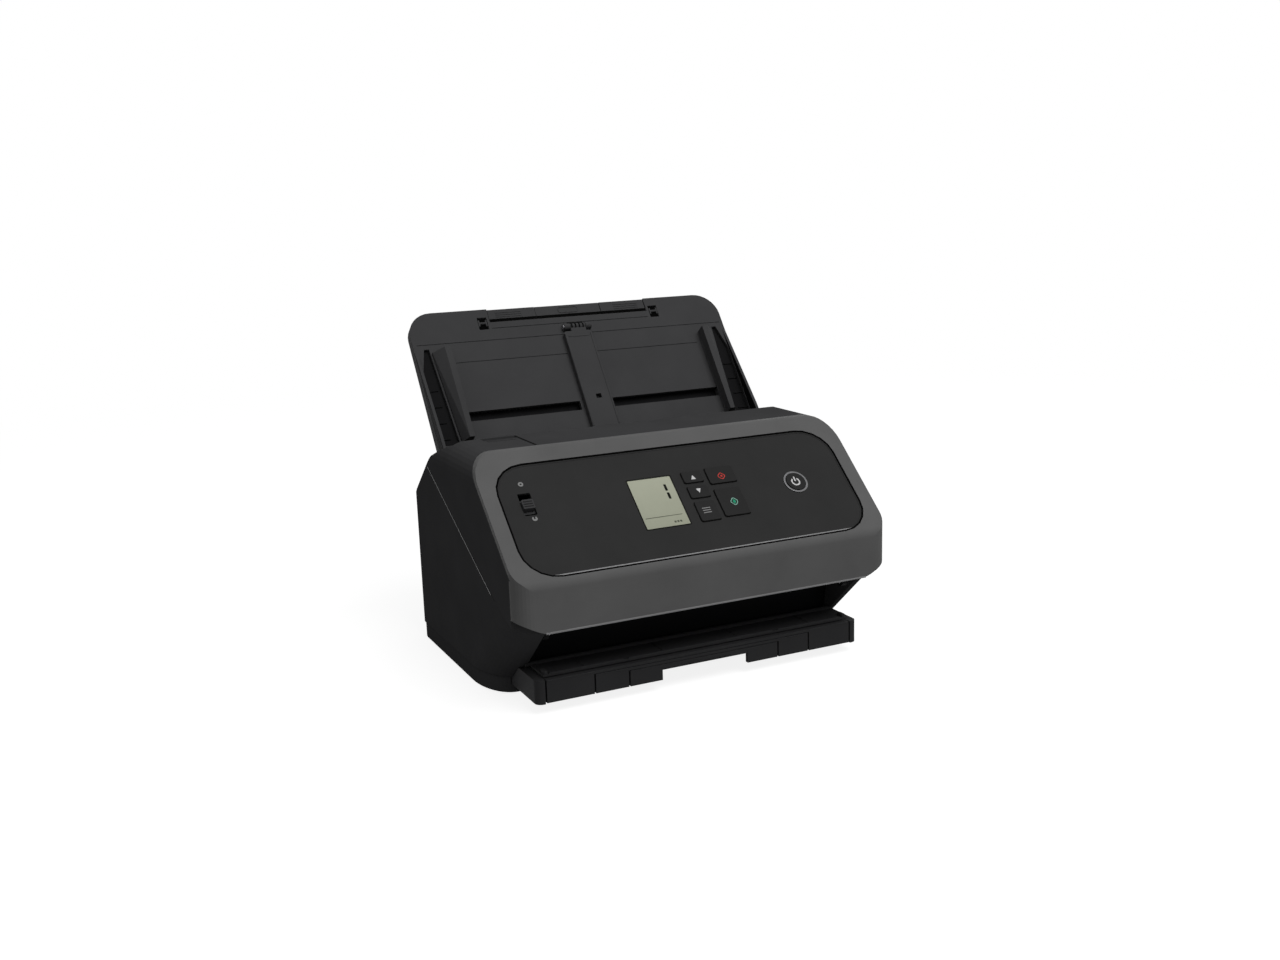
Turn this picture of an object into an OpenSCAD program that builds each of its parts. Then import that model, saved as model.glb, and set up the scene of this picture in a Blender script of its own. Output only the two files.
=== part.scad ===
// Sheet fed document scanner, built as separate pieces.
// X runs across the scanner, +Y points to its back and +Z up. The origin is under the middle
// of the whole scanner, on the surface it stands on.

/* [Body] */
// Width across the side walls
body_w = 291; // [288:1:300]
// Depth from the front lip to the back wall
body_d = 232.3; // [230:0.1:240]
// Height of the flat top
top_z = 170; // [169:0.5:174]
// Wall of the outer shells
wall = 2.5; // [2:0.1:3]
// Upright corner radius at the back
rear_corner_r = 20; // [12:1:26]
// Upright corner radius at the front of the upper unit
front_corner_r = 12; // [8:1:16]
// Radius along the two long top edges
top_edge_r = 18; // [10:1:22]
// Open seam between the upper unit and the base
seam_gap = 1; // [0.6:0.1:1.4]
// Slack between pieces that move past each other
slack = 0.4; // [0.3:0.05:0.5]

/* [Control panel] */
// Slope of the panel from the horizontal
panel_tilt = 41.7; // [40:0.1:43]
// Height of the panel's lower edge
panel_z = 98.6; // [97:0.1:100]
// How far the panel's lower edge sits behind the lip
panel_setback = 3.3; // [3:0.1:4]
// Length of the panel along its slope
panel_len = 94; // [92:0.5:97]
// Strip of the frame at each side of the panel
panel_side = 11.2; // [9:0.1:14]
// Corner radius of the panel
panel_r = 24; // [16:1:28]
// Thickness of the panel
panel_t = 2; // [1.6:0.1:2.4]
// Depth of the frame's sloping face
frame_t = 4; // [3.8:0.1:5]
// How far the panel's face lies under the frame's face
panel_sink = 0.6; // [0.3:0.1:1]
// Height of the underside of the front lip
lip_z = 61.7; // [60:0.1:63]

/* [Buttons] */
// Travel of a button
button_travel = 0.8; // [0.5:0.1:1]
// How far a button stands above the panel
button_rise = 1.2; // [1:0.1:1.5]
// Radius of the power button
power_r = 7.6; // [6:0.1:8]
// Outer radius of the power button's ring
ring_r = 9.5; // [9:0.1:10]
// Width of the display window
lcd_w = 33.6; // [30:0.1:35]
// Length of the display window along the slope
lcd_l = 42.3; // [38:0.1:44]

/* [Paper path] */
// Slope of the path and of the seam on the side
path_tilt = 26.8; // [26:0.1:27.5]
// Height at which the feed tray's plane meets the path
path_z = 136; // [135:0.1:137]
// Distance of that meeting from the back wall
path_back = 73.4; // [72:0.1:75]
// Room for the sheet between the upper and lower guides
sheet_gap = 1.5; // [1.2:0.1:2]
// Thickness of the guide plates
guide_t = 2; // [1.6:0.1:2.4]
// Distance of the feed roller down the path
feed_q = 16; // [15:0.5:17]
// Distance of the transport roller down the path
transport_q = 50; // [47:0.5:53]
// Distance of the lower image sensor down the path
lower_sensor_q = 69; // [67:0.5:72]
// Distance of the upper image sensor down the path
upper_sensor_q = 88; // [86:0.5:91]
// Distance of the eject roller down the path
eject_q = 115; // [113:0.5:117]
// Distance of the end of the guides down the path
exit_q = 128; // [126:0.5:130]
// Radius of the feed roller
feed_r = 9; // [8:0.5:9.5]
// Radius of the transport and eject rollers
drive_r = 8; // [7:0.5:8.5]
// Radius of the rollers in the upper unit
idler_r = 7; // [6:0.5:7.5]
// Radius of the roller shafts
shaft_r = 3; // [2.5:0.1:3.5]
// Radius of the belt pulleys
pulley_r = 5.5; // [5:0.1:5.8]
// Radius of the motor's pulley
motor_pulley_r = 4; // [3.8:0.1:5]
// Width of the belt
belt_w = 4; // [3:0.1:4.4]
// Thickness of the belt
belt_t = 1.2; // [1:0.1:1.5]
// Strip of the paper path beside each end of the image sensors
sensor_side = 8.3; // [6:0.1:12]
// Length of a sensor along the path
sensor_l = 14; // [12:0.5:15]

/* [Output] */
// Width of each front tower
tower_w = 22.2; // [21:0.1:24]
// Height of the base pan
pan_z = 14; // [12:0.5:15]
// Height of the feet under the pan
foot_h = 1.5; // [1:0.1:2]
// How far the base pan's front edge sits behind the lip
pan_setback = 63; // [60:1:66]
// Front face of the eject tray behind the lip
eject_setback = 15.7; // [15:0.1:18]
// How far each side of the eject tray lies inside the body's side
eject_side = 17; // [16:0.1:17.5]
// Top of the eject tray
eject_top_z = 24.5; // [24:0.1:25]
// Underside of the eject tray
eject_low_z = 7.7; // [7.2:0.1:8]
// Length of the eject tray's base
eject_len = 136; // [134:1:142]
// Height step from one eject plate to the next
plate_step = 2.4; // [2.3:0.1:2.6]
// Width of the fixed rail beside the widest eject plate
eject_rail = 7.5; // [7:0.1:9]
// Half width of the second eject plate
stage_2_half_w = 85; // [76:1:90]
// Half width of the third eject plate
stage_3_half_w = 59; // [52:1:64]

/* [Feed tray] */
// Lean of the feed tray from the vertical
tray_lean = 36.25; // [35:0.25:37]
// Height of the tray's measuring point, at the top of the body
tray_z = 158.2; // [158:0.1:159]
// Distance of that point in front of the back wall
tray_back = 57.1; // [56:0.1:58]
// Length of the tray above that point
tray_len = 118.5; // [116:0.5:124]
// How far the tray reaches down from that point
tray_down = 21; // [19:0.5:22]
// Room between the tray and each side of the body
tray_side = 9; // [8.5:0.1:11]
// Whole thickness of the tray
tray_t = 8; // [7.6:0.1:9]
// Thickness of the tray's front skin
tray_skin = 2.5; // [2.2:0.1:2.8]
// Corner radius of the tray's top
tray_corner_r = 20; // [14:1:26]
// Strip of the tray outside each open guide
guide_side = 26.5; // [25:0.5:30]
// Height of a guide above the tray
guide_h = 10; // [8:0.5:14]
// Width of the tray's extension
extension_w = 138; // [130:1:142]
// Width of the extension's inner stage
inner_w = 57; // [50:1:62]
// Width of the arm in the middle of the tray
arm_w = 23.8; // [20:0.2:25]

/* [Hidden] */
$fn = 64;
half_w = body_w / 2;
panel_w = body_w - 2 * panel_side;
mouth_w = body_w - 2 * tower_w;
sensor_w = mouth_w - 2 * sensor_side;
eject_half_w = half_w - eject_side;
stage_half_w = [eject_half_w - eject_rail, stage_2_half_w, stage_3_half_w];
tray_w = body_w - 2 * tray_side;
guide_open_w = tray_w - 2 * guide_side;
lap = 0.01;
far = 400;
arc_steps = 8;

// Where the body stands: the tray reaches past the back wall, and the whole is centred on Y
tray_reach = tray_len * sin(tray_lean) + tray_t * cos(tray_lean) - tray_back;
front_y = -(body_d + tray_reach) / 2;
back_y = front_y + body_d;

// The seam on the side, level with the paper path
path_y = back_y - path_back;
seam_bend_y = front_y + 30.7;
seam_end_y = back_y - 52.4;
seam_slope = tan(path_tilt);
function seam_z(y) = path_z + (y - path_y) * seam_slope;

// The two flat colours that most pieces use
charcoal = [0.27, 0.27, 0.28];
black = [0.12, 0.12, 0.12];
steel = [0.7, 0.7, 0.72];
rubber = [0.08, 0.08, 0.08];

// Points of an arc that rounds the corner b between a and c
function unit2(v) = v / norm(v);
function corner(a, b, c, r) =
    let (
        u = unit2(a - b),
        v = unit2(c - b),
        half = acos(u * v) / 2,
        middle = b + unit2(u + v) * r / sin(half),
        from = b + u * r / tan(half) - middle,
        to = b + v * r / tan(half) - middle,
        start = atan2(from[1], from[0]),
        turn = atan2(to[1], to[0]) - start,
        sweep = turn > 180 ? turn - 360 : (turn < -180 ? turn + 360 : turn)
    )
    r == 0 ? [b] : [
        for (i = [0:arc_steps])
            middle + r * [cos(start + sweep * i / arc_steps), sin(start + sweep * i / arc_steps)]
    ];

// An outline from [x, y, corner radius] points
function rounded(pts) = [
    for (i = [0:len(pts) - 1])
        let (
            a = pts[(i + len(pts) - 1) % len(pts)],
            b = pts[i],
            c = pts[(i + 1) % len(pts)]
        )
        each corner([a[0], a[1]], [b[0], b[1]], [c[0], c[1]], b[2])
];

function rect_pts(x0, y0, x1, y1, r) = rounded([[x0, y0, r], [x1, y0, r], [x1, y1, r], [x0, y1, r]]);

// A plate from z0 to z1 with rounded upright corners
module plate(x0, y0, x1, y1, z0, z1, r = 0) {
    translate([0, 0, z0]) linear_extrude(z1 - z0) polygon(rect_pts(x0, y0, x1, y1, r));
}

module block(x0, x1, y0, y1, z0, z1) {
    translate([x0, y0, z0]) cube([x1 - x0, y1 - y0, z1 - z0]);
}

// Stretches a side outline, given as [y, z] points, across X
module across(x0, x1, pts) {
    translate([x0, 0, 0]) rotate([90, 0, 90]) linear_extrude(x1 - x0) polygon(pts);
}

// A round bar along X through the point (y, z)
module bar(x0, x1, r, y = 0, z = 0) {
    translate([x0, y, z]) rotate([0, 90, 0]) cylinder(r = r, h = x1 - x0);
}

module both_sides() {
    children();
    mirror([1, 0, 0]) children();
}

// Frames of the sloping surfaces: X across, Y up the slope, Z out of the surface
panel_y = front_y + panel_setback;
tray_y = back_y - tray_back;
module on_panel() {
    translate([0, panel_y, panel_z]) rotate([panel_tilt, 0, 0]) children();
}
module on_path() {
    translate([0, path_y, path_z]) rotate([path_tilt, 0, 0]) children();
}
module on_tray() {
    translate([0, tray_y, tray_z]) rotate([90 - tray_lean, 0, 0]) children();
}

// ---- Outlines of the body, as [y, z] points ----

// Front of the base at two heights: it slopes back under the lip
chin_low_y = front_y + pan_setback - 3.4;
chin_high_z = lip_z - 1.7;
chin_high_y = front_y + 7.9;
chin_depth = 40;
tower_x0 = mouth_w / 2;
chin_slope = (chin_low_y - chin_high_y) / (chin_high_z - pan_z);
// The front wall leans, so it is thicker along Y than across itself
chin_wall = sqrt(1 + chin_slope * chin_slope);
tower_back_y = front_y + 102;
back_top_z = seam_z(seam_end_y) - (back_y - seam_end_y) * 0.8 + 1.6;

function below_seam(gap) = [
    [far, -1],
    [far, seam_z(far) - gap],
    [seam_bend_y, seam_z(seam_bend_y) - gap],
    [front_y - 1, lip_z - gap],
    [front_y - 1, -1]
];

module base_outline(inset) {
    across(-far, far, rounded([
        [tower_back_y - inset, pan_z - inset, 0],
        [back_y - inset, pan_z - inset, 0],
        [back_y - inset, back_top_z - inset, 12 - inset],
        [seam_end_y, seam_z(seam_end_y) + 1.6 - inset * 1.28, 0],
        [tower_back_y - inset, seam_z(tower_back_y) + 3, 0]
    ]));
}

// Outer front corner of a tower, a quarter of an oval
function chin_arc(front, inset) = [
    for (i = [0:12])
        let (a = 90 - i * 90 / 12)
        [
            tower_x0 + inset + (tower_w - 2 * inset) * cos(a),
            front + chin_depth - (chin_depth - inset) * sin(a)
        ]
];

module tower_plan(front, inset) {
    polygon(concat(
        [[tower_x0 + inset, tower_back_y + lap]],
        chin_arc(front, inset),
        [[half_w - inset, tower_back_y + lap]]
    ));
}

module tower(inset) {
    back = inset * (chin_wall + chin_slope - 1);
    hull() {
        translate([0, 0, pan_z - inset]) linear_extrude(lap) tower_plan(chin_low_y + back, inset);
        translate([0, 0, chin_high_z - inset]) linear_extrude(lap) tower_plan(chin_high_y + back, inset);
    }
}

// ---- Base ----

hinge_y = front_y + 22;
hinge_z = lip_z - 5.5;
pivot_y = back_y - 54.5;
pivot_z = path_z + 2;
pin_fit = 0.05;
pin_r = 3;
plate_x = half_w - 14;
plate_t = 2;
tray_clear = 0.8;

// Plan of the pan, whose front corners follow the two towers
module pan_plan(inset) {
    side = half_w - inset;
    back = back_y - inset;
    arc = chin_arc(front_y + pan_setback - 1, inset);
    polygon(rounded(concat(
        [for (p = arc) [p[0], p[1], 0]],
        [[side, back, rear_corner_r - inset], [-side, back, rear_corner_r - inset]],
        [for (i = [len(arc) - 1:-1:0]) [-arc[i][0], arc[i][1], 0]]
    )));
}

module base_pan() {
    edge = 1;
    front = front_y + pan_setback;
    color([0.2, 0.2, 0.2])
    difference() {
        translate([0, 0, foot_h]) linear_extrude(pan_z - foot_h - lap) pan_plan(edge);
        block(-eject_half_w - slack, eject_half_w + slack, front - 1, front + 30, eject_low_z - slack, far);
        translate([0, 0, foot_h + wall]) linear_extrude(far) pan_plan(edge + wall);
        for (x = [-60:12:60])
            plate(x - 2, back_y - 70, x + 2, back_y - 30, -1, far, 2);
        both_sides() for (y = screw_y)
            translate([screw_x, y, 0]) union() {
                cylinder(r = screw_head_r, h = foot_h + 0.2 + screw_head_h);
                cylinder(r = screw_r, h = 10);
            }
    }
}

module rubber_feet() {
    foot_r = 8;
    color(rubber) both_sides() {
        translate([half_w - 24, front_y + pan_setback + 20, 0]) cylinder(r = foot_r, h = foot_h);
        translate([half_w - 24, back_y - 24, 0]) cylinder(r = foot_r, h = foot_h);
    }
}

module connector_window(grow) {
    plate(34 - grow, 18 - grow, 124 + grow, 52 + grow, -1, wall + 1, 3);
}

module rear_housing() {
    inner_x = half_w - wall;
    tray_gap_x = tray_w / 2 + 1.2;
    color(black)
    difference() {
        union() {
            difference() {
                intersection() {
                    base_outline(0);
                    plate(-half_w, tower_back_y - 80, half_w, back_y, 0, far, rear_corner_r);
                }
                intersection() {
                    base_outline(wall);
                    plate(-inner_x, tower_back_y - 80, inner_x, back_y - wall, 0, far, rear_corner_r - wall);
                }
                block(-inner_x, inner_x, tower_back_y - 20, tower_back_y + 10, 0, far);
            }
            // Cheeks that hold the feed tray's pins
            intersection() {
                union() {
                    bar(tray_gap_x, inner_x + lap, 9, pivot_y, pivot_z);
                    bar(-inner_x - lap, -tray_gap_x, 9, pivot_y, pivot_z);
                }
                base_outline(0);
            }
            // Bosses for the screws that hold the base pan
            both_sides() for (y = screw_y)
                translate([screw_x, y, 0]) union() {
                    translate([0, 0, foot_h + wall + 0.05]) cylinder(r = screw_r + 1.3, h = 20);
                    translate([0, 0, pan_z]) cylinder(r = 4.2, h = 12);
                }
            both_sides() difference() {
                union() {
                    tower(0);
                    translate([0, 0, chin_high_z]) linear_extrude(60) tower_plan(chin_high_y, 0);
                }
                intersection() {
                    tower(wall);
                    union() {
                        block(0, far, front_y, far, 0, chin_high_z - 12);
                        block(0, far, seam_bend_y + 10, far, 0, far);
                    }
                }
                block(tower_x0 + wall, inner_x, seam_bend_y + 10, far, chin_high_z - wall - 1, far);
                block(0, inner_x, flap_y + 2.2, far, chin_high_z - 5, far);
                block(0, inner_x, flap_y - 4, far, chin_high_z + 12, far);
            }
        }
        // The seam, the opening for the path and tray, and the walls inside the two towers
        difference() {
            block(-far, far, -far, seam_end_y, 0, far);
            across(-far, far, below_seam(seam_gap / 2));
        }
        block(-tray_gap_x, tray_gap_x, seam_bend_y, seam_end_y + tray_clear, path_z - 40, far);
        block(-eject_half_w - slack, eject_half_w + slack, -far, back_y - 40, 0, eject_top_z + slack);
        bar(-inner_x, inner_x, pin_r, pivot_y, pivot_z);
        both_sides() {
            bar(tower_x0 - 1, tower_x0 + 9, pin_r, hinge_y, hinge_z);
            bar(tower_x0 - 1, tower_x0 + 2, flap_pin_r + pin_fit, flap_y, flap_z);
            for (y = screw_y)
                translate([screw_x, y, 0]) cylinder(r = screw_r, h = 20);
        }
        translate([0, back_y, 0]) rotate([90, 0, 0]) connector_window(0);
        for (x = [-100:8:-20])
            translate([0, back_y, 0]) rotate([90, 0, 0]) plate(x - 1.5, 30, x + 1.5, 74, -1, wall + 1, 1.5);
    }
}

// A point on the path, q down it and h above it, as [y, z]
function path_pt(q, h) = [
    path_y - q * cos(path_tilt) - h * sin(path_tilt),
    path_z - q * sin(path_tilt) + h * cos(path_tilt)
];

module output_chute() {
    top = path_pt(exit_q + 2.4, -sheet_gap / 2);
    foot = [front_y + 52.3, eject_top_z + 2.6];
    side = tower_x0 - slack;
    color(black) union() {
        across(-side, side, [foot, foot + [2, 0], top + [2, 0], top]);
        block(-side, side, foot[0], foot[0] + 30, eject_top_z + 0.6, foot[1]);
    }
}

// Centres of the driven rollers, as [y, z]
feed_at = path_pt(feed_q, -feed_r);
transport_at = path_pt(transport_q, -drive_r);
eject_at = path_pt(eject_q, -drive_r);
motor_at = [path_y - 28, path_z - 74];
motor_r = 18;
bush_r = shaft_r + 2;

module side_plate(x) {
    color(steel)
    difference() {
        across(x, x + plate_t, [
            [front_y + 54, eject_top_z + 3],
            [front_y + 74, eject_top_z + 3],
            [front_y + 74, foot_h + wall],
            [back_y - 60, foot_h + wall],
            [back_y - 60, path_z - 30],
            path_pt(4, -5),
            path_pt(exit_q - 3, -5)
        ]);
        for (at = [feed_at, transport_at, eject_at])
            bar(x - 1, x + plate_t + 1, bush_r, at[0], at[1]);
        bar(x - 1, x + plate_t + 1, 7, motor_at[0], motor_at[1]);
        across(x - 1, x + plate_t + 1, rect_pts(path_y - 75, 34, path_y - 55, 58, 5));
    }
}

module left_side_plate() {
    side_plate(-plate_x - plate_t);
}

module right_side_plate() {
    side_plate(plate_x);
}

module shaft_bushings() {
    color("goldenrod") both_sides() for (at = [feed_at, transport_at, eject_at])
        difference() {
            bar(plate_x - 1, plate_x + plate_t, bush_r, at[0], at[1]);
            bar(plate_x - 2, plate_x + plate_t + 1, shaft_r + pin_fit, at[0], at[1]);
        }
}

roller_x = [-52, 52];
roller_w = 26;
feed_w = 18;
feed_x = [-14, 14];

module guide_windows(q, r, places, w) {
    for (x = places)
        block(x - w / 2 - 1, x + w / 2 + 1, -q - r, -q + r, -far, far);
}

module lower_path_guide() {
    low = -sheet_gap / 2 - guide_t;
    color(black) difference() {
        on_path() difference() {
            union() {
                block(-plate_x + slack, plate_x - slack, -exit_q, -3, low, -sheet_gap / 2);
                block(-plate_x + slack, plate_x - slack, -3 - guide_t, -3, low - 8, -sheet_gap / 2);
                for (x = [-118, -80, 80, 118])
                    block(x - 1, x + 1, -44, -23, low - 6, low + lap);
            }
            guide_windows(feed_q, feed_r, feed_x, feed_w);
            guide_windows(transport_q, drive_r, roller_x, roller_w);
            guide_windows(eject_q, drive_r, roller_x, roller_w);
            block(-sensor_w / 2, sensor_w / 2, -lower_sensor_q - sensor_l / 2,
                -lower_sensor_q + sensor_l / 2, -far, far);
        }
        block(-far, far, -far, far, -far, eject_top_z + 3);
    }
}

module sensor_body(q, dir) {
    near = sheet_gap / 2 + guide_t;
    on_path() difference() {
        block(-sensor_w / 2, sensor_w / 2, -q - sensor_l / 2, -q + sensor_l / 2,
            dir > 0 ? near : -near - 12, dir > 0 ? near + 12 : -near);
        block(-sensor_w / 2 + 3, sensor_w / 2 - 3, -q - 2, -q + 2,
            dir > 0 ? near - 1 : -near - 5, dir > 0 ? near + 5 : -near + 1);
    }
}

module sensor_glass(q, dir) {
    near = sheet_gap / 2;
    on_path() block(-sensor_w / 2 + slack, sensor_w / 2 - slack, -q - sensor_l / 2 + slack,
        -q + sensor_l / 2 - slack, dir > 0 ? near : -near - guide_t, dir > 0 ? near + guide_t : -near);
}

module lower_image_sensor() {
    color([0.16, 0.16, 0.17]) sensor_body(lower_sensor_q, -1);
}

module lower_sensor_glass() {
    color([0.8, 0.9, 0.95]) sensor_glass(lower_sensor_q, -1);
}

board_y = back_y - 16;
module main_board() {
    color([0.1, 0.35, 0.18]) union() {
        block(-100, plate_x - 5.5, board_y, board_y + 1.6, 26, 100);
        block(-60, -30, board_y - 4, board_y, 50, 80);
        block(0, 18, board_y - 2, board_y, 60, 78);
        for (x = [-85, -72])
            translate([x, board_y, 40]) rotate([90, 0, 0]) cylinder(r = 5, h = 12);
        for (x = [40, 60, 80])
            block(x, x + 10, board_y - 6, board_y, 84, 90);
    }
}

module connector_cover() {
    color([0.16, 0.16, 0.16]) translate([0, back_y - 0.6, 0]) rotate([90, 0, 0]) difference() {
        plate(34 + slack, 18 + slack, 124 - slack, 52 - slack, 0, wall - 0.6, 3 - slack);
        translate([104, 35, -1]) cylinder(r = 6, h = wall + 2);
        plate(62, 28, 76, 42, -1, wall + 1, 1);
        plate(42, 31, 49, 38, -1, wall + 1, 1);
    }
}

module power_inlet() {
    color(black) translate([104, back_y - 0.6, 35]) rotate([90, 0, 0]) union() {
        difference() {
            cylinder(r = 6 - 0.1, h = 13);
            translate([0, 0, -1]) cylinder(r = 4.2, h = 11.5);
        }
        cylinder(r = 1, h = 11);
    }
}

module usb_socket() {
    color("silver") translate([0, back_y - 0.6, 0]) rotate([90, 0, 0]) union() {
        difference() {
            plate(62.2, 28.2, 75.8, 41.8, 0, 13, 0.8);
            plate(63.2, 29.2, 74.8, 40.8, -1, 11.5, 0.5);
        }
        block(67, 71, 33, 37, 3, 12);
    }
}

module drive_motor() {
    color(steel) difference() {
        union() {
            bar(plate_x - 42, plate_x - 2, motor_r, motor_at[0], motor_at[1]);
            across(plate_x - 2, plate_x, rect_pts(motor_at[0] - motor_r - 6, motor_at[1] - 10,
                motor_at[0] + motor_r + 6, motor_at[1] + 10, 5));
            bar(plate_x, plate_x + plate_t, 6.9, motor_at[0], motor_at[1]);
        }
        bar(plate_x - 20, plate_x + 3, 2.5 + pin_fit, motor_at[0], motor_at[1]);
    }
}

belt_x = plate_x + plate_t + 1.4;
module pulley(at, r, bore) {
    difference() {
        union() {
            bar(belt_x, belt_x + belt_w + 0.8, r, at[0], at[1]);
            bar(belt_x - 0.6, belt_x, r + 1.2, at[0], at[1]);
        }
        if (bore > 0)
            bar(belt_x - 2, belt_x + belt_w + 2, bore, at[0], at[1]);
    }
}

module motor_pulley() {
    color("silver") union() {
        pulley(motor_at, motor_pulley_r, 0);
        bar(plate_x - 18, belt_x + belt_w + 0.8, 2.5, motor_at[0], motor_at[1]);
    }
}

// The belt runs outside the four pulleys
module belt_loop(grow) {
    hull() {
        for (at = [feed_at, transport_at, eject_at])
            translate(at) circle(r = pulley_r + grow);
        translate(motor_at) circle(r = motor_pulley_r + grow);
    }
}

module drive_belt() {
    color(rubber) translate([belt_x + 0.4, 0, 0]) rotate([90, 0, 90]) linear_extrude(belt_w)
        difference() {
            belt_loop(0.3 + belt_t);
            belt_loop(0.3);
        }
}

module drive_shaft(at) {
    color(steel) union() {
        bar(-plate_x - plate_t - 1, belt_x + belt_w + 0.8, shaft_r, at[0], at[1]);
        pulley(at, pulley_r, 0);
    }
}

module tyres(at, r, places, w) {
    color(rubber) for (x = places)
        difference() {
            bar(x - w / 2, x + w / 2, r, at[0], at[1]);
            bar(x - w, x + w, shaft_r, at[0], at[1]);
        }
}

module feed_shaft() {
    drive_shaft(feed_at);
}

module feed_rollers() {
    tyres(feed_at, feed_r, feed_x, feed_w);
}

module transport_shaft() {
    drive_shaft(transport_at);
}

module transport_rollers() {
    tyres(transport_at, drive_r, roller_x, roller_w);
}

module eject_shaft() {
    drive_shaft(eject_at);
}

module eject_rollers() {
    tyres(eject_at, drive_r, roller_x, roller_w);
}

// ---- Upper unit ----

throat_y = back_y - 94.8;
lip_corner_h = 10;

// Where the face of the unit bends, and where it meets the flat top, for a wall w thinner
function bend_at(w) = panel_z + ((front_y + w - panel_y) * sin(panel_tilt) - w) / cos(panel_tilt);
function crest_at(w) = panel_y + ((top_z - w - panel_z) * cos(panel_tilt) + w) / sin(panel_tilt);
bend_r = 9;

function middle_outline(w, low) = rounded([
    [front_y + w, low, 0],
    [front_y + w, bend_at(w), bend_r - w],
    [crest_at(w), top_z - w, 5],
    [throat_y - w, top_z - w, 3],
    [path_pt(5, 0)[0] - w, path_pt(5, seam_gap / 2)[1], 0],
    [path_pt(5, 0)[0] - w, low, 0]
]);

cheek_outline = rounded([
    [front_y, 0, 0],
    [front_y, bend_at(0), bend_r],
    [crest_at(0), top_z, 5],
    [throat_y - 4, top_z, 40],
    [back_y - 61.5, top_z - 15.2, 20],
    [seam_end_y, seam_z(seam_end_y) + 1.6, 0],
    [seam_end_y, 0, 0]
]);

module upper_solid() {
    cheek_x = tray_w / 2 + 1.7;
    intersection() {
        difference() {
            union() {
                across(-half_w, half_w, middle_outline(0, 0));
                across(-half_w, -cheek_x, cheek_outline);
                across(cheek_x, half_w, cheek_outline);
            }
            across(-far, far, below_seam(-seam_gap / 2));
        }
        translate([0, far, 0]) rotate([90, 0, 0]) linear_extrude(2 * far) polygon(rounded([
            [-half_w, 0, 0], [half_w, 0, 0], [half_w, top_z, top_edge_r], [-half_w, top_z, top_edge_r]
        ]));
        linear_extrude(far) polygon(rounded([
            [-half_w, front_y, front_corner_r], [half_w, front_y, front_corner_r],
            [half_w, far, 0], [-half_w, far, 0]
        ]));
    }
}

// The space inside the unit's shell, behind a front wall as thick as front
module upper_hollow(front) {
    side = half_w - wall;
    top_r = top_edge_r - wall;
    front_r = front_corner_r - wall;
    intersection() {
        across(-side, side, middle_outline(front, -1));
        translate([0, far, 0]) rotate([90, 0, 0]) linear_extrude(2 * far) polygon(rounded([
            [-side, -2, 0], [side, -2, 0], [side, top_z - wall, top_r], [-side, top_z - wall, top_r]
        ]));
        translate([0, 0, -2]) linear_extrude(far) polygon(rounded([
            [-side, front_y + front, front_r], [side, front_y + front, front_r],
            [side, far, 0], [-side, far, 0]
        ]));
    }
}

wrap = 11.4;
module frame_zone() {
    on_panel() block(-far, far, -7, far, -frame_t, far);
    block(-far, far, front_y - 1, front_y + wrap, 0, panel_z);
}

lever_x = [-half_w + 27.5, -half_w + 55];
lever_y = [back_y - 141.4, back_y - 96.4];
lever_sink = 0.8;
lever_nose_r = 3.2;
lever_axis = [lever_y[0] + lever_nose_r + 0.8, top_z - lever_sink - lever_nose_r];
lever_pin_r = 2;
finger_well = 5;

module upper_housing() {
    edge = 2.5;
    color([0.14, 0.14, 0.14])
    difference() {
        union() {
            difference() {
                upper_solid();
                upper_hollow(wall);
            }
            block(lever_x[0] - edge, lever_x[1] + edge, lever_y[0] - edge, lever_y[1] + edge,
                top_z - 13, top_z - lap);
        }
        frame_zone();
        block(lever_x[0], lever_x[1], lever_y[0], lever_y[1], top_z - 11, far);
        bar(lever_x[0] - 1.6, lever_x[1] + 1.6, lever_pin_r + pin_fit, lever_axis[0], lever_axis[1]);
    }
}

module front_frame() {
    color(charcoal) difference() {
        intersection() {
            upper_solid();
            frame_zone();
            translate([0, far, 0]) rotate([90, 0, 0]) linear_extrude(2 * far) polygon(rounded([
                [-half_w, lip_z + lip_corner_h, 0], [-half_w + 20, lip_z, 24],
                [half_w - 20, lip_z, 24], [half_w, lip_z + lip_corner_h, 0],
                [half_w, far, 0], [-half_w, far, 0]
            ]));
        }
        upper_hollow(frame_t);
        on_panel() {
            ledge = 2.5;
            plate(-panel_w / 2, 0, panel_w / 2, panel_len, -panel_t - panel_sink, far, panel_r);
            plate(-panel_w / 2 + ledge, ledge, panel_w / 2 - ledge, panel_len - ledge, -far, far,
                panel_r - ledge);
        }
    }
}

// Place on the panel, as [x, distance up the slope], and size of each square button
up_at = [11.1, 64.3];
up_size = [16.2, 10.5];
down_at = [11.1, 51];
down_size = [16.2, 11.1];
menu_at = [11.1, 34];
menu_size = [16.2, 17.5];
stop_at = [33.8, 63];
stop_size = [22.5, 15.1];
start_at = [33, 38.9];
start_size = [21.1, 24.7];
power_at = [90.5, 48.1];
lcd_at = [-22.2, 47.2];
knob_at = [-panel_w / 2 + 18.2, 59.4];
slot_w = 9.2;
slot_s = [51, 69.6];
key_r = 1.6;
face_z = -panel_sink;
back_z = -panel_sink - panel_t;
board_top = back_z - 7.8;
keys = [[up_at, up_size], [down_at, down_size], [menu_at, menu_size], [stop_at, stop_size],
    [start_at, start_size]];

module centred_plate(at, size, z0, z1, r) {
    plate(at[0] - size[0] / 2, at[1] - size[1] / 2, at[0] + size[0] / 2, at[1] + size[1] / 2, z0, z1, r);
}

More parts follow.
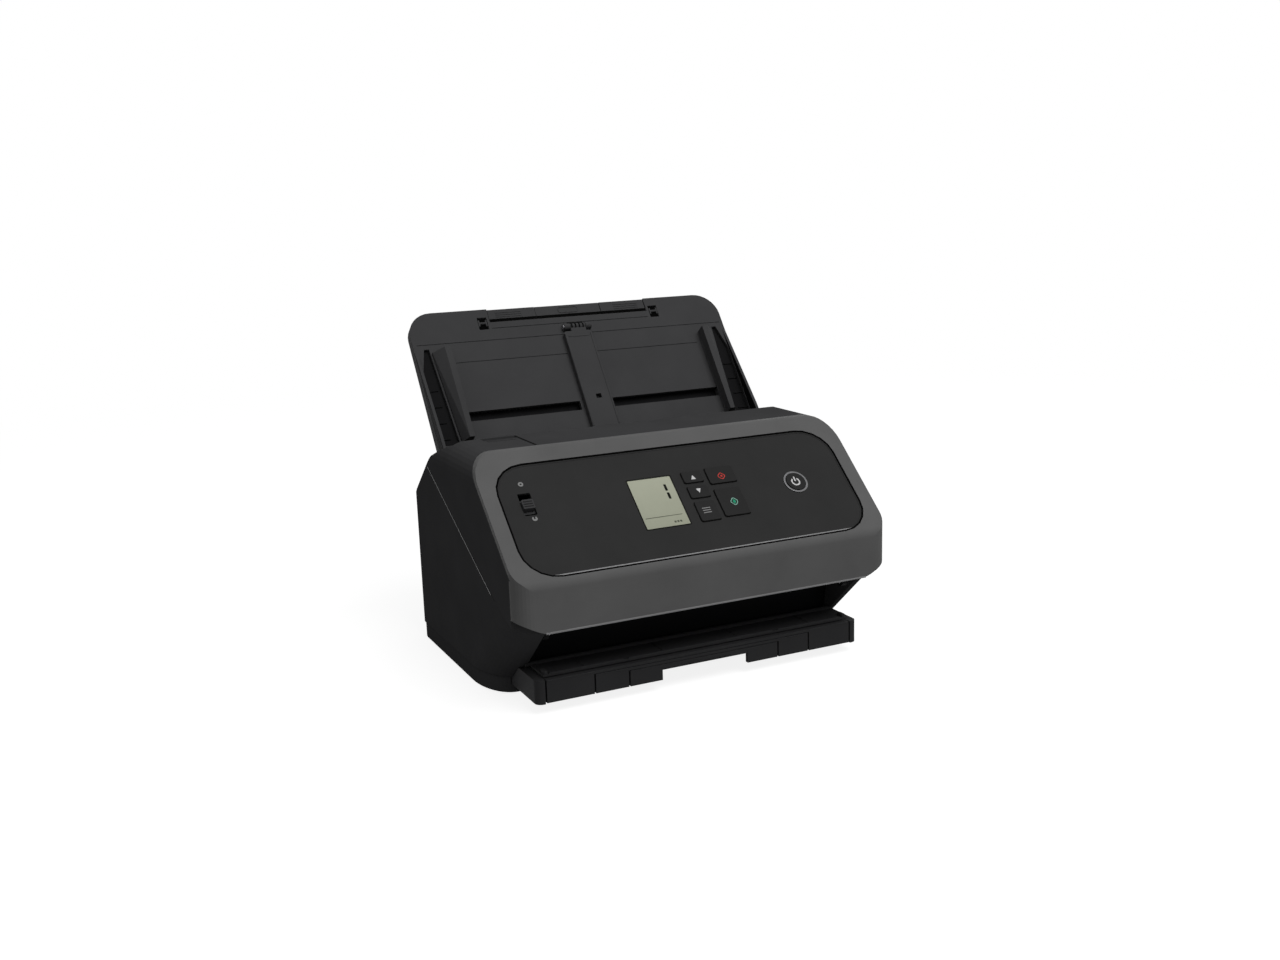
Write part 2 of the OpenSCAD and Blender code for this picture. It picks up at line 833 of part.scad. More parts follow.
module control_panel() {
    fit = 0.8;
    color([0.2, 0.2, 0.2]) on_panel() difference() {
        plate(-panel_w / 2 + fit, fit, panel_w / 2 - fit, panel_len - fit, back_z, face_z, panel_r - fit);
        for (k = keys)
            centred_plate(k[0], k[1], -far, far, key_r);
        centred_plate(lcd_at, [lcd_w, lcd_l], -far, far, 1);
        translate([power_at[0], power_at[1], -far]) cylinder(r = ring_r, h = 2 * far);
        plate(knob_at[0] - slot_w / 2, slot_s[0], knob_at[0] + slot_w / 2, slot_s[1], -far, far, 1);
    }
}

module display_window() {
    color([0.57, 0.58, 0.5]) on_panel()
        centred_plate(lcd_at, [lcd_w - 0.1, lcd_l - 0.1], back_z, face_z - 0.1, 0.95);
}

module display_module() {
    color([0.5, 0.52, 0.45]) on_panel()
        centred_plate(lcd_at, [lcd_w + 4, lcd_l + 4], board_top + 1, back_z - 0.2, 1);
}

module panel_board() {
    color([0.1, 0.35, 0.18]) on_panel() union() {
        plate(-62, 14, 104, 84, board_top - 1.6, board_top, 3);
        for (k = keys)
            centred_plate(k[0], [6, 6], board_top - lap, board_top + 1, 0.5);
        centred_plate(power_at, [6, 6], board_top - lap, board_top + 1, 0.5);
    }
}

// A button: its cap in the panel, a flange that keeps it in, and the stem that presses the switch
module key(at, size) {
    color([0.25, 0.25, 0.25]) on_panel() union() {
        centred_plate(at, size - [slack * 2, slack * 2], back_z - 0.4, face_z + button_rise, key_r);
        centred_plate(at, size + [1.2, 1], back_z - 1.6, back_z - 0.4 + lap, key_r);
        translate([at[0], at[1], board_top + 1.2 + button_travel])
            cylinder(r = 2, h = back_z - 1.6 - board_top - 1.2 - button_travel + lap);
    }
}

module up_button() {
    key(up_at, up_size);
}

module down_button() {
    key(down_at, down_size);
}

module menu_button() {
    key(menu_at, menu_size);
}

module stop_button() {
    key(stop_at, stop_size);
}

module start_button() {
    key(start_at, start_size);
}

module power_button() {
    color([0.25, 0.25, 0.25]) on_panel() translate([power_at[0], power_at[1], 0]) union() {
        translate([0, 0, back_z - 0.4]) cylinder(r = power_r, h = face_z + button_rise - back_z + 0.4);
        translate([0, 0, back_z - 1.6]) cylinder(r = power_r + 1, h = 1.2 + lap);
        translate([0, 0, board_top + 1.2 + button_travel])
            cylinder(r = 2, h = back_z - 1.6 - board_top - 1.2 - button_travel + lap);
    }
}

module power_ring() {
    color("silver") on_panel() translate([power_at[0], power_at[1], 0]) difference() {
        translate([0, 0, back_z]) cylinder(r = ring_r - 0.05, h = panel_t + 0.6);
        translate([0, 0, -far]) cylinder(r = power_r + slack, h = 2 * far);
    }
}

module feed_selector_knob() {
    knob_h = 7.6;
    color([0.25, 0.25, 0.25]) on_panel() union() {
        centred_plate(knob_at, [slot_w - 2 * slack, knob_h], back_z - 0.4, face_z + 2, 1);
        centred_plate(knob_at, [slot_w + 3, knob_h + 4], back_z - 1.8, back_z - 0.4 + lap, 1);
    }
}

rib_x = [28, 78];
idler_shaft_r = 2.5;
retard_r = idler_r;

module idler_supports(q, r, x) {
    at = -q;
    centre = r + 0.3;
    for (s = [-1, 1])
        difference() {
            block(s * x - 1.5, s * x + 1.5, at - 6, at + 6, sheet_gap / 2 + guide_t - lap, centre + 5);
            translate([s * x - 2, at, centre]) rotate([0, 90, 0])
                cylinder(r = idler_shaft_r + pin_fit, h = 4);
        }
}

module upper_path_guide() {
    near = sheet_gap / 2;
    side = half_w - wall - slack;
    arm_x = [tower_x0 - 6.3, tower_x0 - 2.3];
    low_y = front_y + frame_t + 0.2;
    bend_z = seam_z(seam_bend_y) + near / cos(path_tilt);
    low_z = lip_z + (low_y - front_y) / (seam_bend_y - front_y) * (bend_z - lip_z);
    lift = guide_t / cos(path_tilt);
    start = path_pt(exit_q - 1, near);
    color(black) union() {
        on_path() {
            difference() {
                block(-side, side, -exit_q, -8.4, near, near + guide_t);
                both_sides() block(tray_w / 2 + 0.8, far, -32, 0, -far, far);
                guide_windows(feed_q, retard_r, feed_x, feed_w);
                guide_windows(transport_q, idler_r, roller_x, roller_w);
                guide_windows(eject_q, idler_r, roller_x, roller_w);
                block(-sensor_w / 2, sensor_w / 2, -upper_sensor_q - sensor_l / 2,
                    -upper_sensor_q + sensor_l / 2, -far, far);
            }
            idler_supports(feed_q, retard_r, rib_x[0]);
            idler_supports(transport_q, idler_r, rib_x[1]);
            idler_supports(eject_q, idler_r, rib_x[1]);
        }
        across(-tower_x0 + 1, tower_x0 - 1, [
            start, [seam_bend_y, bend_z], [low_y, low_z], [low_y, low_z + lift],
            [seam_bend_y, bend_z + lift], start + [0, lift]
        ]);
        both_sides() difference() {
            union() {
                across(arm_x[0], arm_x[1], [
                    [hinge_y - 5, hinge_z], [hinge_y + 5, hinge_z],
                    [seam_bend_y, bend_z + 1], [hinge_y - 5, bend_z - 3]
                ]);
                bar(arm_x[0], arm_x[1], 5, hinge_y, hinge_z);
            }
            bar(arm_x[0] - 1, arm_x[1] + 1, pin_r + pin_fit, hinge_y, hinge_z);
        }
    }
}

module upper_image_sensor() {
    color([0.16, 0.16, 0.17]) sensor_body(upper_sensor_q, 1);
}

module upper_sensor_glass() {
    color([0.8, 0.9, 0.95]) sensor_glass(upper_sensor_q, 1);
}

module idler(q, r, x, places, w) {
    at = path_pt(q, r + 0.3);
    color(rubber) union() {
        bar(-x - 3, x + 3, idler_shaft_r, at[0], at[1]);
        for (p = places)
            bar(p - w / 2, p + w / 2, r, at[0], at[1]);
    }
}

module retard_roller() {
    idler(feed_q, retard_r, rib_x[0], feed_x, feed_w);
}

module transport_idler() {
    idler(transport_q, idler_r, rib_x[1], roller_x, roller_w);
}

module eject_idler() {
    idler(eject_q, idler_r, rib_x[1], roller_x, roller_w);
}

module release_lever() {
    gap = 0.5;
    x0 = lever_x[0] + gap;
    x1 = lever_x[1] - gap;
    top = top_z - lever_sink;
    tip = lever_y[1] - finger_well;
    color(charcoal) union() {
        block(x0, x1, lever_axis[0], tip, top - 2.4, top);
        block(x0, x1, tip - 4, tip, top - 5, top);
        bar(x0, x1, lever_nose_r, lever_axis[0], lever_axis[1]);
        bar(lever_x[0] - 1.4, lever_x[1] + 1.4, lever_pin_r, lever_axis[0], lever_axis[1]);
    }
}

module unit_hinge_pins() {
    color(steel) both_sides() bar(tower_x0 - 8, tower_x0 + 8.8, pin_r, hinge_y, hinge_z);
}

// ---- Eject tray ----

eject_y = front_y + eject_setback;
rail_gap = 0.3;
skirt_low = eject_low_z + 1.4;
lip_top = skirt_low - rail_gap;
lip_y = eject_y + 3.4;
plate_h = 2;
// The dark gap between two neighbours at the front, and how deep it goes
front_gap = 1.2;
front_depth = 3;

module eject_tray_base() {
    inner = stage_half_w[0] + rail_gap;
    color(black) union() {
        both_sides() {
            difference() {
                plate(inner, eject_y, eject_half_w, eject_y + eject_len, eject_low_z, eject_top_z, 0);
                block(inner - 1, stage_half_w[0] + front_gap, eject_y - 1, eject_y + front_depth, 0, far);
                translate([eject_half_w - 5, eject_y + 5, 0]) difference() {
                    block(0, far, -far, 0, 0, far);
                    cylinder(r = 5, h = far);
                }
            }
            block(inner - 3, inner + lap, lip_y, eject_y + eject_len, eject_low_z, lip_top);
        }
        block(-inner, inner, front_y + pan_setback + 4, eject_y + eject_len, eject_low_z - 1.2, eject_low_z);
        block(-inner, inner, eject_y + eject_len - 1, eject_y + eject_len, eject_low_z - lap, eject_top_z);
    }
}

// One sliding plate: half width, order from the top, and half width of the plate inside it
module stage(w, k, next_w) {
    top = eject_top_z - 0.1 - k * plate_step;
    back = eject_y + eject_len - 2 - 4 * k;
    color([0.14, 0.14, 0.14]) union() {
        block(-w, w, eject_y, back, top - plate_h, top);
        both_sides() {
            block(w - 2.5, w, eject_y, back, skirt_low, top);
            block(next_w + front_gap, w, eject_y, eject_y + front_depth, eject_low_z + 0.5, top);
            if (k < 2) {
                block(next_w + rail_gap, next_w + 2.3, eject_y + front_depth - lap, back,
                    eject_low_z + 0.5, top);
                block(next_w - 3, next_w + 2.3, lip_y, back, eject_low_z + 0.5, lip_top);
            }
        }
    }
}

module eject_stage_1() {
    stage(stage_half_w[0], 0, stage_half_w[1]);
}

module eject_stage_2() {
    stage(stage_half_w[1], 1, stage_half_w[2]);
}

module eject_stage_3() {
    notch_w = 33;
    stage(stage_half_w[2], 2, notch_w);
    color([0.14, 0.14, 0.14]) block(-notch_w - 1, notch_w + 1, eject_y, eject_y + 3, 15.6, 18);
}

flap_y = front_y + 44.3;
flap_z = eject_top_z + 2.6;
flap_pin_r = 1.5;
module eject_flap() {
    side = tower_x0 - 1.5;
    color([0.2, 0.2, 0.2]) union() {
        block(-side, side, flap_y - 24.5, flap_y, eject_top_z + 0.8, eject_top_z + 2.4);
        bar(-side, side, 1.8, flap_y, flap_z);
        bar(-tower_x0 - 1.8, tower_x0 + 1.8, flap_pin_r, flap_y, flap_z);
    }
}

// ---- Feed tray ----

cover_t = 1.4;
shell_low = -tray_t + cover_t;
rim = 3;
// Strips of the tray's face, as distances up the slope
groove_s = [72, 90, 100.6];
groove_w = 0.6;
groove_h = 0.5;
rack_s = 24.5;
rack_low = -5.2;
rack_high = -3;
tooth = 1;
pinion_r = 5;
slot_x = [14, guide_open_w / 2 + 6];
slot_half = 4;
arm_x = 0.4;
arm_pin_s = 95;
arm_pin_h = 3;
arm_pin_r = 1.5;
knuckle_r = 2.6;
knuckle_w = 13.2;
knuckle_x = 1.8;
lug_w = 5;
notch_s = 107.5;
ext_low = 40;

module tray_outline(inset) {
    w = tray_w / 2 - inset;
    polygon(rounded([
        [-w, -tray_down + inset, 4], [w, -tray_down + inset, 4],
        [w, tray_len - inset, tray_corner_r - inset], [-w, tray_len - inset, tray_corner_r - inset]
    ]));
}

module groove(x0, x1, s) {
    block(x0, x1, s - groove_w / 2, s + groove_w / 2, -groove_h, far);
}

// The sunken places in the tray's face
module tray_recesses() {
    deep = 1.6;
    edge = tray_w / 2 - rim;
    both_sides() {
        groove(arm_x + arm_w / 2, guide_open_w / 2 - 4, groove_s[0]);
        // Open pocket outside each guide
        translate([0, 0, shell_low - 1]) linear_extrude(far) polygon([
            [edge - 14, 2], [edge, 2], [edge, 66], [edge - 5, 86], [edge - 9, 86]
        ]);
        // Pockets beside the extension
        block(extension_w / 2 + 2.5, extension_w / 2 + 10.5, groove_s[2] - 0.6, groove_s[2] + 10.4,
            -deep, far);
    }
    groove(-edge, edge, groove_s[1]);
    groove(-extension_w / 2, extension_w / 2, groove_s[2]);
    block(knuckle_x - knuckle_w / 2 - 0.2, knuckle_x + knuckle_w / 2 + 0.2, groove_s[1], groove_s[2],
        -deep, far);
}

module feed_tray() {
    boss_x = tray_w / 2 - 6;
    color(charcoal) union() {
        on_tray() {
            difference() {
                translate([0, 0, shell_low]) linear_extrude(-shell_low) tray_outline(0);
                translate([0, 0, shell_low - 1]) linear_extrude(1 - shell_low - tray_skin) tray_outline(rim);
                block(-extension_w / 2 - 0.5, extension_w / 2 + 0.5, ext_low, far, shell_low - 1, -tray_skin);
                block(-extension_w / 2 - 0.5, extension_w / 2 + 0.5, notch_s - 1.2, far, -far, far);
                tray_recesses();
                both_sides() block(slot_x[0], slot_x[1], rack_s - slot_half, rack_s + slot_half, -far, far);
            }
            // Side cheeks that rise towards the bottom
            both_sides() translate([tray_w / 2 - 2.5, 0, 0]) rotate([90, 0, 90]) linear_extrude(2.3)
                polygon([[-tray_down + 3, -1], [-6, 9], [6, 8.5], [84, 0], [84, -1]]);
            for (side = [-1, 1]) {
                x = knuckle_x + side * (knuckle_w / 2 + 0.3 + lug_w / 2);
                difference() {
                    union() {
                        bar(x - lug_w / 2, x + lug_w / 2, knuckle_r, arm_pin_s, arm_pin_h);
                        block(x - lug_w / 2, x + lug_w / 2, arm_pin_s - knuckle_r,
                            arm_pin_s + knuckle_r, -1, arm_pin_h);
                    }
                    bar(x - far, x + far, arm_pin_r + pin_fit, arm_pin_s, arm_pin_h);
                }
            }
            translate([0, rack_s, shell_low + 0.2])
                cylinder(r = 1.45, h = -shell_low - 0.2 - tray_skin + lap);
        }
        both_sides() difference() {
            union() {
                bar(boss_x, tray_w / 2 - 0.4, 6, pivot_y, pivot_z);
                on_tray() block(boss_x, tray_w / 2 - 0.4, -tray_down, -10, -14, -4);
            }
            bar(boss_x - 1, tray_w, pin_r + pin_fit, pivot_y, pivot_z);
        }
    }
}

module tray_back_cover() {
    color([0.2, 0.2, 0.2]) on_tray() difference() {
        translate([0, 0, -tray_t]) linear_extrude(cover_t - 0.05) tray_outline(0);
        both_sides() block(tray_w / 2 - 6.4, tray_w, -far, -7.5, -far, far);
    }
}

module extension_plate(w, z0, z1, cap_z, s0) {
    union() {
        block(-w, w, s0, tray_len - 0.5, z0, z1);
        block(-w, w, notch_s + 0.4, tray_len - 0.5, z0, cap_z);
    }
}

module extension_outer() {
    z0 = shell_low + 0.2;
    z1 = -tray_skin - 0.3;
    color([0.2, 0.2, 0.2]) on_tray() difference() {
        extension_plate(extension_w / 2, z0, z1, -0.6, ext_low);
        block(-inner_w / 2 - slack, inner_w / 2 + slack, ext_low + 4, far, z0 + 0.8, z1 - 0.8);
        block(-inner_w / 2 - slack, inner_w / 2 + slack, notch_s, far, z0 + 0.8, far);
    }
}

module extension_inner() {
    z0 = shell_low + 1.3;
    z1 = -tray_skin - 1.4;
    color([0.2, 0.2, 0.2]) on_tray() extension_plate(inner_w / 2, z0, z1, -0.9, ext_low + 4.5);
}

module support_arm() {
    low = 0.6;
    color(black) on_tray() union() {
        difference() {
            plate(arm_x - arm_w / 2, 1, arm_x + arm_w / 2, arm_pin_s - 5, low, 4.4, 2);
            block(arm_x - 1.3, arm_x + 3.3, 27.3, 31.1, 0, far);
        }
        block(knuckle_x - knuckle_w / 2, knuckle_x + knuckle_w / 2, arm_pin_s - 6, arm_pin_s, 1, 4.4);
        bar(knuckle_x - knuckle_w / 2, knuckle_x + knuckle_w / 2, knuckle_r - 0.2, arm_pin_s, arm_pin_h);
        bar(knuckle_x - knuckle_w / 2 - lug_w, knuckle_x + knuckle_w / 2 + lug_w, arm_pin_r,
            arm_pin_s, arm_pin_h);
    }
}

// A rack from x0 to x1 whose teeth point down to the pinion, with a tooth centred on X = 0
pitch = PI * tooth;
rack_line = pinion_r + 0.3;
function rack_tooth(i) = [
    [(i - 0.34) * pitch, rack_line + tooth],
    [(i - 0.12) * pitch, rack_line - 0.7 * tooth],
    [(i + 0.12) * pitch, rack_line - 0.7 * tooth],
    [(i + 0.34) * pitch, rack_line + tooth]
];

module rack(x0, x1) {
    first = ceil(x0 / pitch + 0.4);
    last = floor(x1 / pitch - 0.4);
    translate([0, rack_s, rack_low]) linear_extrude(rack_high - rack_low - 0.2) polygon(concat(
        [[x0, rack_line + 3.2], [x0, rack_line + tooth]],
        [for (i = [first:last]) each rack_tooth(i)],
        [[x1, rack_line + tooth], [x1, rack_line + 3.2]]
    ));
}

guide_s = [3, 82];
module guide() {
    inner = -guide_open_w / 2;
    union() {
        // A ramp that falls outwards from the inner edge and widens up the tray
        hull() {
            translate([0, 0, 0.5]) linear_extrude(1)
                polygon([[inner, guide_s[0]], [inner - 8, guide_s[0]],
                    [inner - 13, guide_s[1]], [inner, guide_s[1]]]);
            translate([0, 0, guide_h - 1]) linear_extrude(1)
                polygon([[inner, guide_s[0]], [inner - 4, guide_s[0]],
                    [inner - 5, guide_s[1]], [inner, guide_s[1]]]);
        }
        block(inner - 5, inner, rack_s - 3, rack_s + 3, rack_low, 1);
        block(inner - 5, inner, rack_s - 3, rack_s + rack_line + 3.2, rack_low, rack_high - 0.2);
        rack(inner - 2, 8);
    }
}

module left_guide() {
    color(charcoal) on_tray() guide();
}

module right_guide() {
    color(charcoal) on_tray() translate([0, rack_s, 0]) rotate([0, 0, 180]) translate([0, -rack_s, 0])
        difference() {
            guide();
            block(-far, far, -far, far, -1, far);
        }
    color(charcoal) on_tray() mirror([1, 0, 0]) difference() {
        guide();
        block(-far, far, -far, far, -far, -1 - lap);
    }
}

module guide_pinion() {
    teeth = 10;
    step = 360 / teeth;
    root_r = pinion_r - 1.1 * tooth;
    tip_r = pinion_r + 0.7 * tooth;
    color("white") on_tray() translate([0, rack_s, rack_low]) linear_extrude(rack_high - rack_low - 0.2)
        difference() {
            polygon([
                for (i = [0:teeth - 1])
                    let (a = 90 + (i + 0.5) * step)
                    each [
                        root_r * [cos(a - 0.32 * step), sin(a - 0.32 * step)],
                        tip_r * [cos(a - 0.12 * step), sin(a - 0.12 * step)],
                        tip_r * [cos(a + 0.12 * step), sin(a + 0.12 * step)],
                        root_r * [cos(a + 0.32 * step), sin(a + 0.32 * step)]
                    ]
            ]);
            circle(r = 1.5);
        }
}

module tray_hinge_pins() {
    color(steel) both_sides() bar(tray_w / 2 - 5, half_w - wall - 0.2, pin_r, pivot_y, pivot_z);
}

// ---- Fasteners ----

screw_x = half_w - wall - 4;
screw_y = [tower_back_y + 6, back_y - 28];
screw_r = 1.6;
screw_head_r = 3.4;
screw_head_h = 1.4;

module housing_screws() {
    color(steel) both_sides() for (y = screw_y)
        translate([screw_x, y, foot_h + 0.2]) union() {
            cylinder(r = screw_head_r - 0.1, h = screw_head_h);
            cylinder(r = screw_r, h = 18);
        }
}
base_pan();
rubber_feet();
rear_housing();
output_chute();
left_side_plate();
right_side_plate();
lower_path_guide();
lower_image_sensor();
lower_sensor_glass();
main_board();
connector_cover();
power_inlet();
usb_socket();
drive_motor();
motor_pulley();
drive_belt();
shaft_bushings();
feed_shaft();
feed_rollers();
transport_shaft();
transport_rollers();
eject_shaft();
eject_rollers();
unit_hinge_pins();
upper_housing();
front_frame();
control_panel();
display_window();
display_module();
panel_board();
up_button();
down_button();
menu_button();
stop_button();
start_button();
power_button();
power_ring();
feed_selector_knob();
upper_path_guide();
upper_image_sensor();
upper_sensor_glass();
retard_roller();
transport_idler();
eject_idler();
release_lever();
eject_tray_base();
eject_stage_1();
eject_stage_2();
eject_stage_3();
eject_flap();
feed_tray();
tray_back_cover();
extension_outer();
extension_inner();
support_arm();
left_guide();
right_guide();
guide_pinion();
tray_hinge_pins();
housing_screws();
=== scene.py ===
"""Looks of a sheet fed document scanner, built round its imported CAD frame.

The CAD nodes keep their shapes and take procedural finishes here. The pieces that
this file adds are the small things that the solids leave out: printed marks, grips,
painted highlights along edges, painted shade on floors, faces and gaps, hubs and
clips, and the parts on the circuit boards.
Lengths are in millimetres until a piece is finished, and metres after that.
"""

import logging
import math
from collections.abc import Iterable, Sequence
from dataclasses import dataclass
from enum import Enum

import bmesh
import bpy
import numpy as np
from mathutils import Matrix, Vector
from mathutils.bvhtree import BVHTree


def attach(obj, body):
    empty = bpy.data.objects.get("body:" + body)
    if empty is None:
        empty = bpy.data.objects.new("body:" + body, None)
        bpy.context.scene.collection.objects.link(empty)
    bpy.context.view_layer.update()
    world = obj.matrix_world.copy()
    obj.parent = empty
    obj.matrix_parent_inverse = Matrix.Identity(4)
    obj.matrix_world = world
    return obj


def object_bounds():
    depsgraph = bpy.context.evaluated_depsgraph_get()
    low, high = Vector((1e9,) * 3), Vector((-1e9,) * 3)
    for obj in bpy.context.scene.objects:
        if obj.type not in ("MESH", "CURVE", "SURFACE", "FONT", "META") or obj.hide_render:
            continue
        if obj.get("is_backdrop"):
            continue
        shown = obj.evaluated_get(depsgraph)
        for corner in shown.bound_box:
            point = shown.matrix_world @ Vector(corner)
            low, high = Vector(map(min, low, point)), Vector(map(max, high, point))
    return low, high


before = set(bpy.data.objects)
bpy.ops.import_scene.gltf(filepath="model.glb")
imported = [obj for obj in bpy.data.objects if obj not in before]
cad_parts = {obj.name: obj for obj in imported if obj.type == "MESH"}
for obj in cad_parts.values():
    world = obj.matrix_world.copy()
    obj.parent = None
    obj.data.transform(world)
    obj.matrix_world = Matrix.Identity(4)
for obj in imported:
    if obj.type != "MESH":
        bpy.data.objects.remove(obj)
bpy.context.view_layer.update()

LOG = logging.getLogger("scanner")
MM = 0.001
IMAGE = (1280, 960)
# How close, in metres, a ray's hit is to count as the vertex itself
NEAR_HIT = 0.0006
# An edge that turns by more degrees than this is shaded sharp
SHARP = 35.0
Colour = tuple[float, float, float]
Point2 = tuple[float, float]


def tint(code: str) -> Colour:
    """Turns a colour as it shows on a screen into the linear one a shader takes.

    Args:
        code: Six hexadecimal digits.

    Returns:
        Red, green and blue, linear.
    """
    parts = [int(code[i:i + 2], 16) / 255 for i in (0, 2, 4)]
    return tuple(c / 12.92 if c <= 0.04045 else ((c + 0.055) / 1.055) ** 2.4 for c in parts)


# ---------------------------------------------------------------- image points

POINTS: dict[str, Point2] = {
    "object_left": (407.7, 338.0),
    "object_right": (882.4, 521.3),
    "object_top": (691.6, 295.1),
    "object_bottom": (540.0, 705.2),
    "tray_top_left": (408.4, 332.9),
    "tray_top_right": (714.9, 305.9),
    "lip_left": (545.8, 634.1),
    "lip_right": (866.6, 576.4),
    "eject_front_left": (537.1, 704.9),
    "eject_front_right": (854.3, 640.5),
    "power_ring": (795.7, 481.5),
    "display": (659.1, 502.0),
    "digit": (667.4, 491.5),
    "up_mark": (692.8, 477.2),
    "down_mark": (699.0, 490.6),
    "menu_mark": (707.0, 510.0),
    "stop_mark": (721.3, 475.9),
    "start_mark": (734.3, 501.3),
    "selector_mark_high": (520.5, 484.4),
    "selector_mark_low": (534.9, 518.7),
}


# ---------------------------------------------------------------- local frames

@dataclass(frozen=True)
class LocalFrame:
    """A frame of the part that is tilted about the X axis, as the source tilts it."""

    y: float
    z: float
    tilt: float

    def matrix(self) -> Matrix:
        """The transform from this frame to the part's, in millimetres."""
        turn = Matrix.Rotation(math.radians(self.tilt), 4, "X")
        return Matrix.Translation((0.0, self.y, self.z)) @ turn

    def local(self, place: Vector) -> Vector:
        """A place in the part's frame, in metres, as this frame gives it, in millimetres."""
        return self.matrix().inverted() @ (place / MM)


# The lip's front, the back and the sides of the body, as in the source
FRONT_Y = -125.861
BACK_Y = 106.439
HALF_W = 145.5
PART = LocalFrame(0.0, 0.0, 0.0)
PANEL = LocalFrame(FRONT_Y + 3.3, 98.6, 41.7)
TRAY = LocalFrame(BACK_Y - 57.1, 158.2, 53.75)


# ---------------------------------------------------------------- camera

@dataclass(frozen=True)
class PhotoCamera:
    """The photograph's camera, settled by the image points."""

    lens: float = 37.83
    sensor: float = 36.0
    shift_x: float = 0.0
    shift_y: float = 0.0
    place: tuple[float, float, float] = (-426.0, -908.51, 343.0)
    yaw: float = 25.39
    pitch: float = -12.15
    roll: float = -1.83

    def axes(self) -> Matrix:
        """The camera's right, up and backward axes, as the columns of a matrix."""
        yaw, pitch, roll = (math.radians(a) for a in (self.yaw, self.pitch, self.roll))
        ahead = Vector((math.sin(yaw) * math.cos(pitch), math.cos(yaw) * math.cos(pitch), math.sin(pitch)))
        level = Vector((math.cos(yaw), -math.sin(yaw), 0.0))
        rise = level.cross(ahead)
        right = level * math.cos(roll) + rise * math.sin(roll)
        up = rise * math.cos(roll) - level * math.sin(roll)
        return Matrix((right, up, -ahead)).transposed()

    def build(self) -> bpy.types.Object:
        """Makes the camera and gives it to the scene."""
        data = bpy.data.cameras.new("camera")
        data.sensor_fit = "AUTO"
        data.sensor_width = self.sensor
        data.lens = self.lens
        data.shift_x = self.shift_x
        data.shift_y = self.shift_y
        data.clip_start = 0.05
        data.clip_end = 60.0
        camera = bpy.data.objects.new("camera", data)
        bpy.context.scene.collection.objects.link(camera)
        camera.matrix_world = Matrix.Translation(Vector(self.place) * MM) @ self.axes().to_4x4()
        bpy.context.scene.camera = camera
        return camera

    def ray(self, point: Point2) -> tuple[Vector, Vector]:
        """The line of sight through an image point.

        Args:
            point: Its x and y in the image.

        Returns:
            Where the line starts and which way it goes, in the part's frame.
        """
        width, height = IMAGE
        side = max(width, height)
        aim = Vector((
            point[0] - width / 2 + self.shift_x * side,
            height / 2 - point[1] + self.shift_y * side,
            -side * self.lens / self.sensor,
        ))
        return Vector(self.place) * MM, (self.axes() @ aim).normalized()

    def pixels(self, places: np.ndarray) -> np.ndarray:
        """Where places in the part's frame, in metres, show in the image.

        Args:
            places: One row for each place.

        Returns:
            One row of x and y for each place.
        """
        width, height = IMAGE
        side = max(width, height)
        seen = (places - np.array(self.place) * MM) @ np.array(self.axes())
        reach = side * self.lens / self.sensor / -seen[:, 2]
        x = seen[:, 0] * reach + width / 2 - self.shift_x * side
        y = height / 2 + self.shift_y * side - seen[:, 1] * reach
        return np.stack([x, y], axis=1)


CAMERA = PhotoCamera()


def mesh_tree(objects: Iterable[bpy.types.Object]) -> BVHTree:
    """A search tree of objects as they are finished and placed."""
    depsgraph = bpy.context.evaluated_depsgraph_get()
    corners: list[Vector] = []
    faces: list[tuple[int, ...]] = []
    for thing in objects:
        seen = thing.evaluated_get(depsgraph)
        mesh = seen.to_mesh()
        start = len(corners)
        corners += [seen.matrix_world @ v.co for v in mesh.vertices]
        faces += [tuple(start + i for i in f.vertices) for f in mesh.polygons]
        seen.to_mesh_clear()
    return BVHTree.FromPolygons(corners, faces)


def place_on(point: str, carriers: Sequence[bpy.types.Object]) -> Vector:
    """Finds where something shows on a surface: the one way this file does it.

    Args:
        point: The name of its image point.
        carriers: The objects that carry it.

    Returns:
        The place in the part's frame, in metres: where the ray meets the carriers,
        or the place on them that is nearest the ray where it misses.
    """
    tree = mesh_tree(carriers)
    start, aim = CAMERA.ray(POINTS[point])
    hit = tree.ray_cast(start, aim)[0]
    if hit is not None:
        return hit
    along = (Vector(sum((np.array(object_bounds()[i]) for i in (0, 1))) / 2) - start).dot(aim)
    return tree.find_nearest(start + aim * along)[0]


# ---------------------------------------------------------------- mesh making

def rectangle(x0: float, x1: float, y0: float, y1: float) -> list[Point2]:
    """The corners of a rectangle."""
    return [(x0, y0), (x1, y0), (x1, y1), (x0, y1)]


def around(centre: Point2, width: float, length: float) -> list[Point2]:
    """The corners of a rectangle round its middle."""
    return rectangle(
        centre[0] - width / 2, centre[0] + width / 2, centre[1] - length / 2, centre[1] + length / 2,
    )


def diamond(centre: Point2, width: float, length: float) -> list[Point2]:
    """The corners of a rhombus round its middle."""
    x, y = centre
    return [(x, y - length / 2), (x + width / 2, y), (x, y + length / 2), (x - width / 2, y)]


